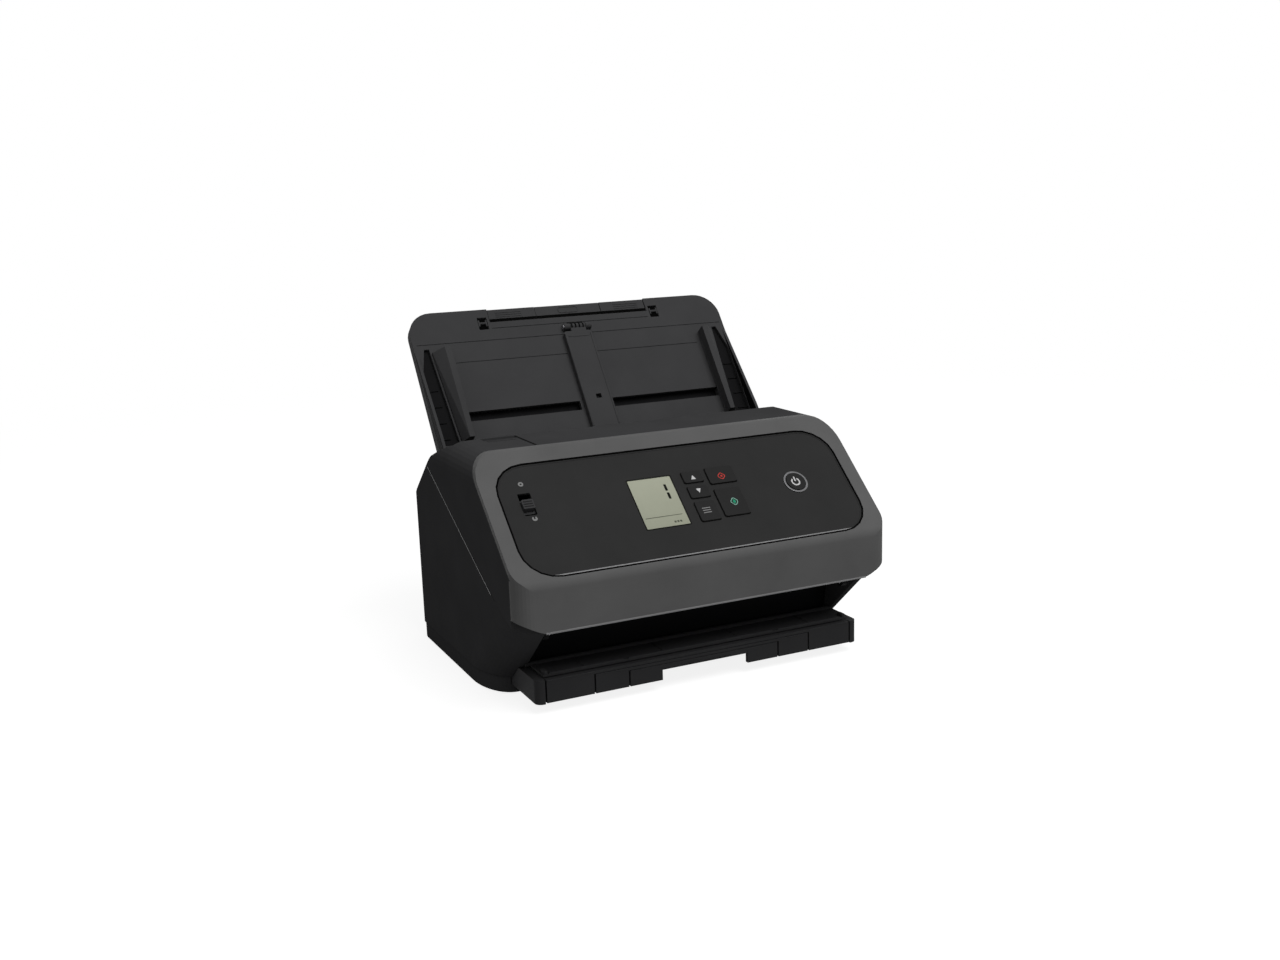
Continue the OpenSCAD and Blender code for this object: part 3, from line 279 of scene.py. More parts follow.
class Shape:
    """A mesh in one of the part's frames, in millimetres, until it is finished."""

    def __init__(self, where: LocalFrame = PART) -> None:
        """Starts an empty mesh in a frame."""
        self.where = where
        self.mesh = bmesh.new()

    def _sheet(self, outline: Sequence[Point2], height: float, corner: float) -> bmesh.types.BMFace:
        """One flat face, with its corners rounded."""
        before = set(self.mesh.faces)
        corners = [self.mesh.verts.new((x, y, height)) for x, y in outline]
        self.mesh.faces.new(corners)
        if corner > 0:
            bmesh.ops.bevel(
                self.mesh, geom=corners, offset=corner, affect="VERTICES",
                segments=5, profile=0.5, material=-1,
            )
        return next(f for f in self.mesh.faces if f not in before)

    def _raise(self, faces: list[bmesh.types.BMFace], by: float, soft: float) -> None:
        """Extrudes faces upwards and rounds the edge round their top."""
        grown = bmesh.ops.extrude_face_region(self.mesh, geom=faces)["geom"]
        top = [f for f in grown if isinstance(f, bmesh.types.BMFace)]
        risen = [v for v in grown if isinstance(v, bmesh.types.BMVert)]
        bmesh.ops.translate(self.mesh, vec=(0, 0, by), verts=risen)
        if soft > 0:
            inside = set(top)
            rim = [e for f in top for e in f.edges if not inside.issuperset(e.link_faces)]
            bmesh.ops.bevel(
                self.mesh, geom=rim, offset=soft, affect="EDGES", segments=2, profile=0.5, material=-1,
            )

    def slab(
        self, outline: Sequence[Point2], low: float, high: float,
        corner: float = 0.0, soft: float = 0.0,
    ) -> "Shape":
        """Adds a flat piece.

        Args:
            outline: Its corners.
            low: Its underside.
            high: Its top.
            corner: Radius of its corners.
            soft: Radius of the edge round its top.

        Returns:
            This shape.
        """
        self._raise([self._sheet(outline, low, corner)], high - low, soft)
        return self

    def band(
        self, outline: Sequence[Point2], width: float, low: float, high: float,
        corner: float = 0.0, soft: float = 0.0,
    ) -> "Shape":
        """Adds a closed strip.

        Args:
            outline: The corners of its outer edge.
            width: How wide it is, inwards.
            low: Its underside.
            high: Its top.
            corner: Radius of its outer corners.
            soft: Radius of the edges of its top.

        Returns:
            This shape.
        """
        face = self._sheet(outline, low, corner)
        rim = bmesh.ops.inset_region(
            self.mesh, faces=[face], thickness=width, use_even_offset=True, use_boundary=True,
        )["faces"]
        bmesh.ops.delete(self.mesh, geom=[face], context="FACES_ONLY")
        self._raise(rim, high - low, soft)
        return self

    def turned(
        self, profile: Sequence[Point2], place: tuple[float, float, float],
        axis: str = "Z", sweep: float = 360.0, start: float = 0.0, steps: int = 40,
    ) -> "Shape":
        """Adds a turned piece.

        Args:
            profile: Radius and height of each corner of its section.
            place: The foot of its axis.
            axis: The way its axis goes: X or Z.
            sweep: How far it is turned, in degrees.
            start: Where the turn starts, in degrees.
            steps: Number of steps of the turn.

        Returns:
            This shape.
        """
        before = set(self.mesh.verts)
        partial = sweep < 360.0
        corners = [self.mesh.verts.new((r, 0.0, h)) for r, h in profile]
        pairs = list(zip(corners, corners[1:]))
        section: list = corners + [self.mesh.edges.new(pair) for pair in pairs]
        if partial:
            section += [self.mesh.edges.new((corners[-1], corners[0])), self.mesh.faces.new(corners)]
        bmesh.ops.spin(
            self.mesh, geom=section, cent=(0, 0, 0), axis=(0, 0, 1), angle=math.radians(sweep),
            steps=steps, use_merge=not partial,
        )
        fresh = [v for v in self.mesh.verts if v not in before]
        turn = {
            "X": Matrix.Rotation(math.pi / 2, 4, "Y"),
            "Z": Matrix.Identity(4),
        }[axis]
        move = Matrix.Translation(place) @ turn @ Matrix.Rotation(math.radians(start), 4, "Z")
        bmesh.ops.transform(self.mesh, matrix=move, verts=fresh)
        bmesh.ops.remove_doubles(self.mesh, verts=[v for v in fresh if v.is_valid], dist=0.001)
        return self

    def both_sides(self) -> "Shape":
        """Adds the mirror image across X."""
        mesh = self.mesh
        twin = bmesh.ops.duplicate(mesh, geom=mesh.verts[:] + mesh.edges[:] + mesh.faces[:])["geom"]
        corners = [v for v in twin if isinstance(v, bmesh.types.BMVert)]
        bmesh.ops.scale(mesh, vec=(-1, 1, 1), verts=corners)
        return self

    def stand(self) -> "Shape":
        """Turns all that is there so far, drawn in Y and Z, to stand across X."""
        turn = Matrix(((0, 0, 1, 0), (1, 0, 0, 0), (0, 1, 0, 0), (0, 0, 0, 1)))
        bmesh.ops.transform(self.mesh, matrix=turn, verts=self.mesh.verts[:])
        return self

    def finish(self, name: str, body: str, look: "Look", slot: str) -> bpy.types.Object:
        """Makes the shape a piece of the scene.

        Args:
            name: The piece's name.
            body: The CAD body it rides on.
            look: Its finish.
            slot: Not used; the name of one of the record's material slots.

        Returns:
            The object.
        """
        shape = self.mesh
        bmesh.ops.recalc_face_normals(shape, faces=shape.faces[:])
        place = Matrix.Scale(MM, 4) @ self.where.matrix()
        bmesh.ops.transform(shape, matrix=place, verts=shape.verts[:])
        open_edges = sum(1 for e in shape.edges if not e.is_manifold)
        for face in shape.faces:
            face.smooth = True
        for edge in shape.edges:
            edge.smooth = edge.calc_face_angle(0.0) < math.radians(SHARP)
        data = bpy.data.meshes.new(name)
        shape.to_mesh(data)
        shape.free()
        piece = bpy.data.objects.new(name, data)
        bpy.context.scene.collection.objects.link(piece)
        PALETTE.dress(piece, look)
        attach(piece, body)
        LOG.info("%s rides on %s, %d faces, %d open edges", name, body, len(data.polygons), open_edges)
        return piece


# ---------------------------------------------------------------- shader writing

class Value:
    """A number in a material's nodes. Arithmetic on it adds Math nodes."""

    def __init__(self, tree: bpy.types.NodeTree, socket: bpy.types.NodeSocket) -> None:
        """Wraps an output socket of a tree."""
        self.tree = tree
        self.socket = socket

    def _math(self, operation: str, *operands: "Value | float") -> "Value":
        """Adds a Math node and gives its result."""
        node = self.tree.nodes.new("ShaderNodeMath")
        node.operation = operation
        for place, operand in zip(node.inputs, operands):
            if isinstance(operand, Value):
                self.tree.links.new(operand.socket, place)
            else:
                place.default_value = operand
        return Value(self.tree, node.outputs[0])

    def __add__(self, other: "Value | float") -> "Value":
        """Sum."""
        return self._math("ADD", self, other)

    __radd__ = __add__

    def __sub__(self, other: "Value | float") -> "Value":
        """Difference."""
        return self._math("SUBTRACT", self, other)

    def __rsub__(self, other: "Value | float") -> "Value":
        """Difference from a number."""
        return self._math("SUBTRACT", other, self)

    def __mul__(self, other: "Value | float") -> "Value":
        """Product."""
        return self._math("MULTIPLY", self, other)

    __rmul__ = __mul__

    def __truediv__(self, other: "Value | float") -> "Value":
        """Quotient."""
        return self._math("DIVIDE", self, other)

    def limit(self) -> "Value":
        """The number held between 0 and 1."""
        return self._math("MINIMUM", self._math("MAXIMUM", self, 0.0), 1.0)

    def above(self, level: float) -> "Value":
        """1 where the number is above a level, and 0 elsewhere."""
        return self._math("GREATER_THAN", self, level)

    def wave(self) -> "Value":
        """The sine of the number."""
        return self._math("SINE", self)


class Recipe:
    """A material while its nodes are written."""

    def __init__(self, name: str) -> None:
        """Starts an empty material of that name."""
        self.material = bpy.data.materials.new(name)
        self.material.use_nodes = True
        self.tree = self.material.node_tree
        self.tree.nodes.clear()
        self._coords: bpy.types.NodeSocket | None = None

    def node(self, kind: str, settings: dict | None = None, **values: object) -> bpy.types.Node:
        """Adds any node but a Math node.

        Args:
            kind: The node's type.
            settings: Its settings, which are set first.
            values: A number, colour, Value or socket for each input, by its name
                with spaces as underscores.

        Returns:
            The node.
        """
        node = self.tree.nodes.new(kind)
        for key, setting in (settings or {}).items():
            setattr(node, key, setting)
        for key, value in values.items():
            place = self._input(node, key.replace("_", " "))
            if isinstance(value, Value):
                self.tree.links.new(value.socket, place)
            elif isinstance(value, bpy.types.NodeSocket):
                self.tree.links.new(value, place)
            elif isinstance(value, tuple) and len(value) == 3 and place.type == "RGBA":
                place.default_value = (*value, 1.0)
            else:
                place.default_value = value
        return node

    @staticmethod
    def _input(node: bpy.types.Node, name: str) -> bpy.types.NodeSocket:
        """Finds the enabled input of that name."""
        return next(s for s in node.inputs if s.name == name and s.enabled)

    def value(self, node: bpy.types.Node, name: str) -> Value:
        """An output of a node as a number."""
        return Value(self.tree, next(s for s in node.outputs if s.name == name and s.enabled))

    def coords(self) -> bpy.types.NodeSocket:
        """The piece's own coordinates, in metres."""
        if self._coords is None:
            self._coords = self.node("ShaderNodeTexCoord").outputs["Object"]
        return self._coords

    def noise(self, size: float, detail: float = 2.0, rough: float = 0.5) -> Value:
        """Smooth noise with lumps of a size in millimetres, from 0 to 1."""
        node = self.node(
            "ShaderNodeTexNoise", {"noise_dimensions": "3D"}, Vector=self.coords(),
            Scale=1.0 / (size * MM), Detail=detail, Roughness=rough,
        )
        return self.value(node, "Fac" if "Fac" in node.outputs else "Factor")

    def cells(self, size: float) -> Value:
        """Distance to the middle of cells of a size in millimetres."""
        node = self.node(
            "ShaderNodeTexVoronoi", {"feature": "F1"}, Vector=self.coords(), Scale=1.0 / (size * MM),
        )
        return self.value(node, "Distance")

    def along(self, axis: int) -> Value:
        """One of the piece's own coordinates, in millimetres."""
        split = self.node("ShaderNodeSeparateXYZ", Vector=self.coords())
        return Value(self.tree, split.outputs[axis]) * (1.0 / MM)

    def edges(self, radius: float, gain: float) -> tuple[Value, bpy.types.NodeSocket]:
        """Where the surface turns sharply.

        Args:
            radius: How far from the edge counts, in millimetres.
            gain: How strongly.

        Returns:
            A mask that is 1 on an edge, and the normal with its edges rounded.
        """
        soft = self.node("ShaderNodeBevel", {"samples": 4}, Radius=radius * MM).outputs["Normal"]
        flat = self.node("ShaderNodeNewGeometry").outputs["True Normal"]
        dot = self.node("ShaderNodeVectorMath", {"operation": "DOT_PRODUCT"})
        self.tree.links.new(soft, dot.inputs[0])
        self.tree.links.new(flat, dot.inputs[1])
        turned = (1.0 - Value(self.tree, dot.outputs["Value"])) * gain
        return turned.limit(), soft

    def blend(
        self, share: Value, low: Colour | bpy.types.NodeSocket, high: Colour | bpy.types.NodeSocket,
    ) -> bpy.types.NodeSocket:
        """Mixes two colours by a share."""
        node = self.tree.nodes.new("ShaderNodeMix")
        node.data_type = "RGBA"
        places = [s for s in node.inputs if s.enabled]
        self.tree.links.new(share.socket, places[0])
        for place, colour in zip(places[1:], (low, high)):
            if isinstance(colour, bpy.types.NodeSocket):
                self.tree.links.new(colour, place)
            else:
                place.default_value = (*colour, 1.0)
        return next(s for s in node.outputs if s.enabled)

    def bump(
        self, height: Value, depth: float, normal: bpy.types.NodeSocket | None = None,
    ) -> bpy.types.NodeSocket:
        """A normal that a height of 0 to 1, that deep in millimetres, bends."""
        values: dict[str, object] = {"Height": height, "Distance": depth * MM, "Strength": 1.0}
        if normal is not None:
            values["Normal"] = normal
        return self.node("ShaderNodeBump", **values).outputs["Normal"]

    def finish(self, **values: object) -> bpy.types.Material:
        """Ends the material in a Principled shader with those inputs."""
        shader = self.node("ShaderNodeBsdfPrincipled", **values)
        out = self.node("ShaderNodeOutputMaterial")
        self.tree.links.new(shader.outputs[0], out.inputs["Surface"])
        return self.material


# ---------------------------------------------------------------- finishes

@dataclass(frozen=True)
class MouldedPlastic:
    """Injection moulded plastic with a spark eroded grain."""

    name: str
    colour: Colour
    roughness: float = 0.5
    grain: float = 0.45
    depth: float = 0.010
    specular: float = 0.22
    wear: float = 0.5
    worn: Colour = (0.12, 0.12, 0.125)
    round_edges: float = 0.35

    def build(self) -> bpy.types.Material:
        """Writes the material."""
        recipe = Recipe(self.name)
        worn, soft = recipe.edges(self.round_edges, 2.2)
        fine = recipe.noise(self.grain, 3.0, 0.6)
        pits = recipe.cells(self.grain * 1.6)
        broad = recipe.noise(38.0, 3.0, 0.55)
        smudge = recipe.noise(9.0, 4.0, 0.6)
        darker = tuple(c * 0.9 for c in self.colour)
        lighter = tuple(c * 1.1 for c in self.colour)
        base = recipe.blend((broad * 1.6 - 0.3).limit(), darker, lighter)
        rubbed = (worn * (recipe.noise(2.2, 3.0) * 1.5 - 0.25)).limit() * self.wear
        base = recipe.blend(rubbed, base, self.worn)
        rough = (self.roughness + (smudge - 0.5) * 0.14 + (fine - 0.5) * 0.08 - rubbed * 0.12).limit()
        normal = recipe.bump(fine * 0.6 + pits * 0.4, self.depth, soft)
        return recipe.finish(
            Base_Color=base, Roughness=rough, Normal=normal, Specular_IOR_Level=self.specular,
        )


@dataclass(frozen=True)
class TurnedMetal:
    """Metal with fine tool marks across one axis."""

    name: str
    colour: Colour
    roughness: float = 0.3
    axis: int = 0
    pitch: float = 0.5

    def build(self) -> bpy.types.Material:
        """Writes the material."""
        recipe = Recipe(self.name)
        worn, soft = recipe.edges(0.2, 2.0)
        marks = (recipe.along(self.axis) * (2.0 * math.pi / self.pitch) + recipe.noise(1.5) * 5.0).wave()
        cloud = recipe.noise(6.0, 4.0)
        base = recipe.blend((cloud * 1.4 - 0.2).limit(), tuple(c * 0.85 for c in self.colour), self.colour)
        rough = (self.roughness + (cloud - 0.5) * 0.2 + marks * 0.03 - worn * 0.05).limit()
        return recipe.finish(
            Base_Color=base, Roughness=rough, Metallic=1.0,
            Normal=recipe.bump(marks * 0.5 + 0.5, 0.004, soft),
        )


@dataclass(frozen=True)
class RollerRubber:
    """Moulded rubber with a matt, slightly dusty face."""

    name: str
    colour: Colour = (0.035, 0.035, 0.037)

    def build(self) -> bpy.types.Material:
        """Writes the material."""
        recipe = Recipe(self.name)
        fine = recipe.noise(0.25, 3.0, 0.7)
        dust = recipe.noise(5.0, 5.0, 0.65)
        base = recipe.blend((dust * 2.2 - 0.9).limit(), self.colour, tuple(c * 2.2 for c in self.colour))
        rough = (0.72 + (dust - 0.5) * 0.3).limit()
        return recipe.finish(
            Base_Color=base, Roughness=rough, Specular_IOR_Level=0.3, Normal=recipe.bump(fine, 0.03),
        )


@dataclass(frozen=True)
class BoardLacquer:
    """Solder lacquer over copper tracks."""

    name: str
    colour: Colour = (0.008, 0.085, 0.03)
    track: Colour = (0.02, 0.16, 0.06)

    def build(self) -> bpy.types.Material:
        """Writes the material."""
        recipe = Recipe(self.name)
        lines = ((recipe.along(0) * 2.1).wave() * (recipe.along(2) * 0.23).wave()).above(0.35)
        rows = ((recipe.along(2) * 1.7).wave() * (recipe.along(0) * 0.19).wave()).above(0.45)
        tracks = (lines + rows).limit()
        base = recipe.blend(tracks, self.colour, self.track)
        rough = (0.25 + recipe.noise(3.0) * 0.12).limit()
        return recipe.finish(Base_Color=base, Roughness=rough, Normal=recipe.bump(tracks, 0.03))


@dataclass(frozen=True)
class ClearGlass:
    """Flat glass over a dark inside."""

    name: str
    colour: Colour = (0.02, 0.028, 0.03)
    roughness: float = 0.06

    def build(self) -> bpy.types.Material:
        """Writes the material."""
        recipe = Recipe(self.name)
        smear = recipe.noise(12.0, 4.0, 0.6)
        base = recipe.blend((smear * 2.0 - 0.6).limit(), self.colour, tuple(c * 1.5 for c in self.colour))
        rough = (self.roughness + smear * 0.05).limit()
        return recipe.finish(Base_Color=base, Roughness=rough, Coat_Weight=0.5, Coat_Roughness=0.03)


@dataclass(frozen=True)
class CrystalFilm:
    """The grey green film of a reflective display, a little darker to one side."""

    name: str
    colour: Colour
    shade: Colour

    def build(self) -> bpy.types.Material:
        """Writes the material."""
        recipe = Recipe(self.name)
        fall = (recipe.along(2) * 0.03 - 3.4 + recipe.noise(7.0, 2.0) * 0.25).limit()
        grid = ((recipe.along(0) * 10.0).wave() * 0.5 + 0.5) * 0.06
        base = recipe.blend((fall + grid).limit(), self.shade, self.colour)
        rough = (0.3 + recipe.noise(1.2) * 0.08).limit()
        return recipe.finish(Base_Color=base, Roughness=rough, Specular_IOR_Level=0.3)


@dataclass(frozen=True)
class PadInk:
    """Printed ink, thin over the plastic's grain, a little uneven."""

    name: str
    colour: Colour
    roughness: float = 0.45

    def build(self) -> bpy.types.Material:
        """Writes the material."""
        recipe = Recipe(self.name)
        thin = recipe.noise(0.8, 3.0, 0.6)
        base = recipe.blend((thin * 1.6 - 0.3).limit(), tuple(c * 0.82 for c in self.colour), self.colour)
        rough = (self.roughness + (thin - 0.5) * 0.15).limit()
        return recipe.finish(
            Base_Color=base, Roughness=rough, Specular_IOR_Level=0.04,
            Normal=recipe.bump(recipe.noise(0.3), 0.01),
        )


class Look(Enum):
    """The finishes that the scanner's pieces take."""

    BLACK = MouldedPlastic("black_plastic", tint("434344"), 0.6, specular=0.0, wear=0.3)
    CHARCOAL = MouldedPlastic(
        "charcoal_plastic", tint("626262"), 0.55, specular=0.03, worn=(0.14, 0.14, 0.145),
    )
    PANEL = MouldedPlastic(
        "panel_plastic", tint("303030"), 0.5, grain=0.3, depth=0.005, specular=0.03, wear=0.2,
    )
    KEY = MouldedPlastic("key_plastic", tint("2b2b2b"), 0.5, grain=0.3, depth=0.005, specular=0.03, wear=0.3)
    DARK = MouldedPlastic("dark_plastic", tint("343435"), 0.55, specular=0.05)
    TRAY = MouldedPlastic("tray_plastic", tint("414142"), 0.6, specular=0.03, wear=0.35)
    EJECT = MouldedPlastic("eject_plastic", tint("343435"), 0.55, specular=0.02, wear=0.4)
    # Near black, far darker than the housing's plastic: painted shade on the inner parts, the floors, faces and
    # ribs of recesses, and the screws' crosses
    CAVITY_SHADE = MouldedPlastic("cavity_painted_shade", tint("141415"), 0.6, specular=0.03, wear=0.1)
    # Black: painted shade in gaps, small pockets and grooves
    GAP_SHADE = MouldedPlastic("gap_painted_shade", tint("0b0b0b"), 0.7, specular=0.0, wear=0.0)
    SENSOR = MouldedPlastic("sensor_housing", tint("1a1a1c"), 0.4, specular=0.1, wear=0.2)
    NYLON = MouldedPlastic("white_nylon", tint("dcdcd8"), 0.4, specular=0.4, wear=0.0)
    STEEL = TurnedMetal("plated_steel", (0.55, 0.55, 0.57), 0.34, 2, 0.9)
    SHAFT = TurnedMetal("ground_steel", (0.6, 0.6, 0.62), 0.22, 0, 0.4)
    BRASS = TurnedMetal("sintered_bronze", (0.55, 0.38, 0.18), 0.42, 0, 0.6)
    ALLOY = TurnedMetal("turned_alloy", (0.7, 0.7, 0.72), 0.28, 0, 0.4)
    RING = TurnedMetal("bright_ring", (0.17, 0.17, 0.175), 0.2, 0, 0.7)
    RUBBER = RollerRubber("roller_rubber")
    BOARD = BoardLacquer("board_lacquer")
    GLASS = ClearGlass("sensor_glass")
    DISPLAY = CrystalFilm("display_film", tint("a3a692"), tint("8d907c"))
    DISPLAY_INK = PadInk("display_segment", tint("151612"), 0.5)
    WHITE_INK = PadInk("white_ink", tint("d5d5d5"))
    GREY_INK = PadInk("grey_ink", tint("8f8f8f"))
    RED_INK = PadInk("red_ink", tint("c2453f"))
    GREEN_INK = PadInk("green_ink", tint("2f9a76"))
    MINT_INK = PadInk("mint_ink", tint("8fbfae"))
    FAINT_INK = PadInk("faint_segment", tint("55584a"), 0.5)
    # Near black: painted shade round the recessed display window
    DISPLAY_RECESS_SHADE = PadInk("display_recess_painted_shade", tint("161714"), 0.4)
    # Light grey: painted highlights on edges that catch the light
    PAINTED_HIGHLIGHT = MouldedPlastic("painted_highlight_edge", tint("868687"), 0.4, specular=0.2, wear=0.2)
    # Light grey: a painted highlight along the side seams
    SEAM_HIGHLIGHT = MouldedPlastic("seam_painted_highlight", tint("767677"), 0.45, specular=0.1, wear=0.2)
    PLATE = MouldedPlastic("plate_film", tint("8d8d8f"), 0.35, grain=0.2, depth=0.003, wear=0.1)


class Palette:
    """Builds each finish once."""

    def __init__(self) -> None:
        """Starts with nothing built."""
        self._made: dict[Look, bpy.types.Material] = {}

    def get(self, look: Look) -> bpy.types.Material:
        """The material of a finish."""
        if look not in self._made:
            self._made[look] = look.value.build()
        return self._made[look]

    def dress(self, thing: bpy.types.Object, look: Look) -> None:
        """Gives a finish to every material slot of an object."""
        if not thing.material_slots:
            thing.data.materials.append(None)
        for place in thing.material_slots:
            place.material = self.get(look)


PALETTE = Palette()

CAD_LOOKS: dict[Look, tuple[str, ...]] = {
    Look.BLACK: ("base_pan", "rear_housing", "upper_housing", "connector_cover", "release_lever",
                 "feed_selector_knob"),
    Look.CHARCOAL: ("front_frame",),
    Look.PANEL: ("control_panel",),
    Look.KEY: ("up_button", "down_button", "menu_button", "stop_button", "start_button", "power_button"),
    Look.TRAY: ("feed_tray", "tray_back_cover", "extension_outer", "extension_inner", "support_arm",
                "left_guide", "right_guide"),
    Look.EJECT: ("eject_tray_base", "eject_stage_1", "eject_stage_2", "eject_stage_3", "eject_flap"),
    Look.CAVITY_SHADE: ("output_chute", "lower_path_guide", "upper_path_guide", "display_module"),
    Look.SENSOR: ("lower_image_sensor", "upper_image_sensor", "usb_socket", "power_inlet"),
    Look.NYLON: ("guide_pinion",),
    Look.STEEL: ("left_side_plate", "right_side_plate", "unit_hinge_pins", "tray_hinge_pins",
                 "housing_screws", "drive_motor"),
    Look.SHAFT: ("feed_shaft", "transport_shaft", "eject_shaft"),
    Look.BRASS: ("shaft_bushings",),
    Look.ALLOY: ("motor_pulley",),
    Look.RING: ("power_ring",),
    Look.RUBBER: ("feed_rollers", "transport_rollers", "eject_rollers", "retard_roller", "transport_idler",
                  "eject_idler", "rubber_feet", "drive_belt"),
    Look.BOARD: ("main_board", "panel_board"),
    Look.GLASS: ("lower_sensor_glass", "upper_sensor_glass"),
    Look.DISPLAY: ("display_window",),
}


def dress_cad() -> None:
    """Gives every CAD node its finish."""
    for look, names in CAD_LOOKS.items():
        for name in names:
            PALETTE.dress(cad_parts[name], look)
    left = sorted(set(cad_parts) - {n for names in CAD_LOOKS.values() for n in names})
    if left:
        LOG.warning("no finish for %s", left)


# ---------------------------------------------------------------- the pieces

REPORT: dict[str, bpy.types.Object] = {}

# The names of the record's material slots
KEY_SLOT = "key_plastic"
PANEL_SLOT = "panel_plastic"
DISPLAY_SLOT = "display"
CHARCOAL_SLOT = "charcoal_plastic"
BLACK_SLOT = "black_plastic"
DARK_SLOT = "dark_plastic"
STEEL_SLOT = "sheet_steel"
BOARD_SLOT = "circuit_board"

UPPER = "upper_unit"
# The panel's face in its frame, and how deep pieces sit in a face
PANEL_FACE = -0.6
SINK = 0.02
# Underside and top of what the window shows
GLASS_INK = (-0.72, -0.67)
# How far ink stands up, and how much further where two prints overlap
INK = 0.1
OVERLAY = 0.01
# A turned ring that is closed by two faces, in degrees
FULL_RING = 359.5


def node(name: str) -> bpy.types.Object:
    """A CAD node's object."""
    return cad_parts[name]


def ink_ends(top: float) -> Point2:
    """Underside and top of ink on a surface at that height."""
    return top - SINK, top + INK


def hoop(inner: float, outer: float, low: float, high: float) -> list[Point2]:
    """The section of a ring, as radius and height of its corners."""
    return [(inner, low), (outer, low), (outer, high), (inner, high)]


def on_frame(point: str, where: LocalFrame, *carriers: str) -> Point2:
    """Where an image point lies on CAD nodes.

    Args:
        point: The image point's name.
        where: The frame to give the place in.
        carriers: Names of the nodes.

    Returns:
        Its x and y in that frame, in millimetres.
    """
    place = where.local(place_on(point, [node(n) for n in carriers]))
    return place.x, place.y


@dataclass(frozen=True)
class KeyMarks:
    """The printed symbols on the keys. Their words are left off."""

    key_top: float = 0.6
    arrow: Point2 = (3.8, 3.8)
    arrow_corner: float = 0.3
    bar: Point2 = (6.4, 0.7)
    bar_pitch: float = 1.9
    bar_corner: float = 0.2
    stop_ring: Point2 = (7.13, 7.2)
    stop_line: float = 0.7
    stop_corner: float = 1.5
    stop_core: Point2 = (1.5, 1.7)
    start_ring: Point2 = (7.13, 7.92)
    start_line: float = 0.56
    start_corner: float = 1.6
    start_core: Point2 = (2.6, 4.4)
    core_corner: float = 0.3
    power_radii: Point2 = (2.4, 3.6)
    power_sweep: float = 290.0
    power_start: float = 125.0
    power_bar: Point2 = (1.2, 4.0)
    power_bar_up: float = 2.4

    def _print(self, shape: "Shape", mark: str, piece: str, key: str, look: Look) -> None:
        """Finishes a mark on a key, and notes it for its image point."""
        REPORT[mark] = shape.finish(piece, key, look, KEY_SLOT)

    def arrows(self) -> None:
        """The triangles of the up and down keys."""
        for name, sign in (("up", 1.0), ("down", -1.0)):
            key, mark = name + "_button", name + "_mark"
            x, y = on_frame(mark, PANEL, key)
            wide, tall = self.arrow[0] / 2, self.arrow[1] / 2 * sign
            outline = [(x - wide, y - tall), (x + wide, y - tall), (x, y + tall)]
            shape = Shape(PANEL).slab(outline, *ink_ends(self.key_top), self.arrow_corner)
            self._print(shape, mark, name + "_key_mark", key, Look.WHITE_INK)

    def menu(self) -> None:
        """Three short bars, in place of the word on the menu key."""
        x, y = on_frame("menu_mark", PANEL, "menu_button")
        shape = Shape(PANEL)
        for step in (-self.bar_pitch, 0.0, self.bar_pitch):
            shape.slab(around((x, y + step), *self.bar), *ink_ends(self.key_top), self.bar_corner)
        self._print(shape, "menu_mark", "menu_key_mark", "menu_button", Look.GREY_INK)

    def stop(self) -> None:
        """A rounded ring round a small square."""
        x, y = on_frame("stop_mark", PANEL, "stop_button")
        ends = ink_ends(self.key_top)
        shape = Shape(PANEL).band(diamond((x, y), *self.stop_ring), self.stop_line, *ends, self.stop_corner)
        shape.slab(around((x, y), *self.stop_core), *ends, self.core_corner)
        self._print(shape, "stop_mark", "stop_key_mark", "stop_button", Look.RED_INK)

    def start(self) -> None:
        """A solid rhombus in an open rounded ring."""
        x, y = on_frame("start_mark", PANEL, "start_button")
        ends = ink_ends(self.key_top)
        ring = Shape(PANEL).band(
            diamond((x, y), *self.start_ring), self.start_line, *ends, self.start_corner,
        )
        self._print(ring, "start_mark", "start_key_ring", "start_button", Look.MINT_INK)
        core = Shape(PANEL).slab(diamond((x, y), *self.start_core), *ends, self.core_corner)
        core.finish("start_key_mark", "start_button", Look.GREEN_INK, KEY_SLOT)

    def power(self) -> None:
        """The usual broken ring and stroke of a power key."""
        x, y = on_frame("power_ring", PANEL, "power_button", "power_ring")
        low, high = ink_ends(self.key_top)
        shape = Shape(PANEL).turned(
            hoop(*self.power_radii, low, high), (x, y, 0.0),
            sweep=self.power_sweep, start=self.power_start, steps=36,
        )
        bar = around((x, y + self.power_bar_up), *self.power_bar)
        shape.slab(bar, low, high + OVERLAY, self.core_corner)
        shape.finish("power_key_mark", "power_button", Look.WHITE_INK, KEY_SLOT)

    def build(self) -> None:
        """Prints all the keys."""
        self.arrows()
        self.menu()
        self.stop()
        self.start()
        self.power()


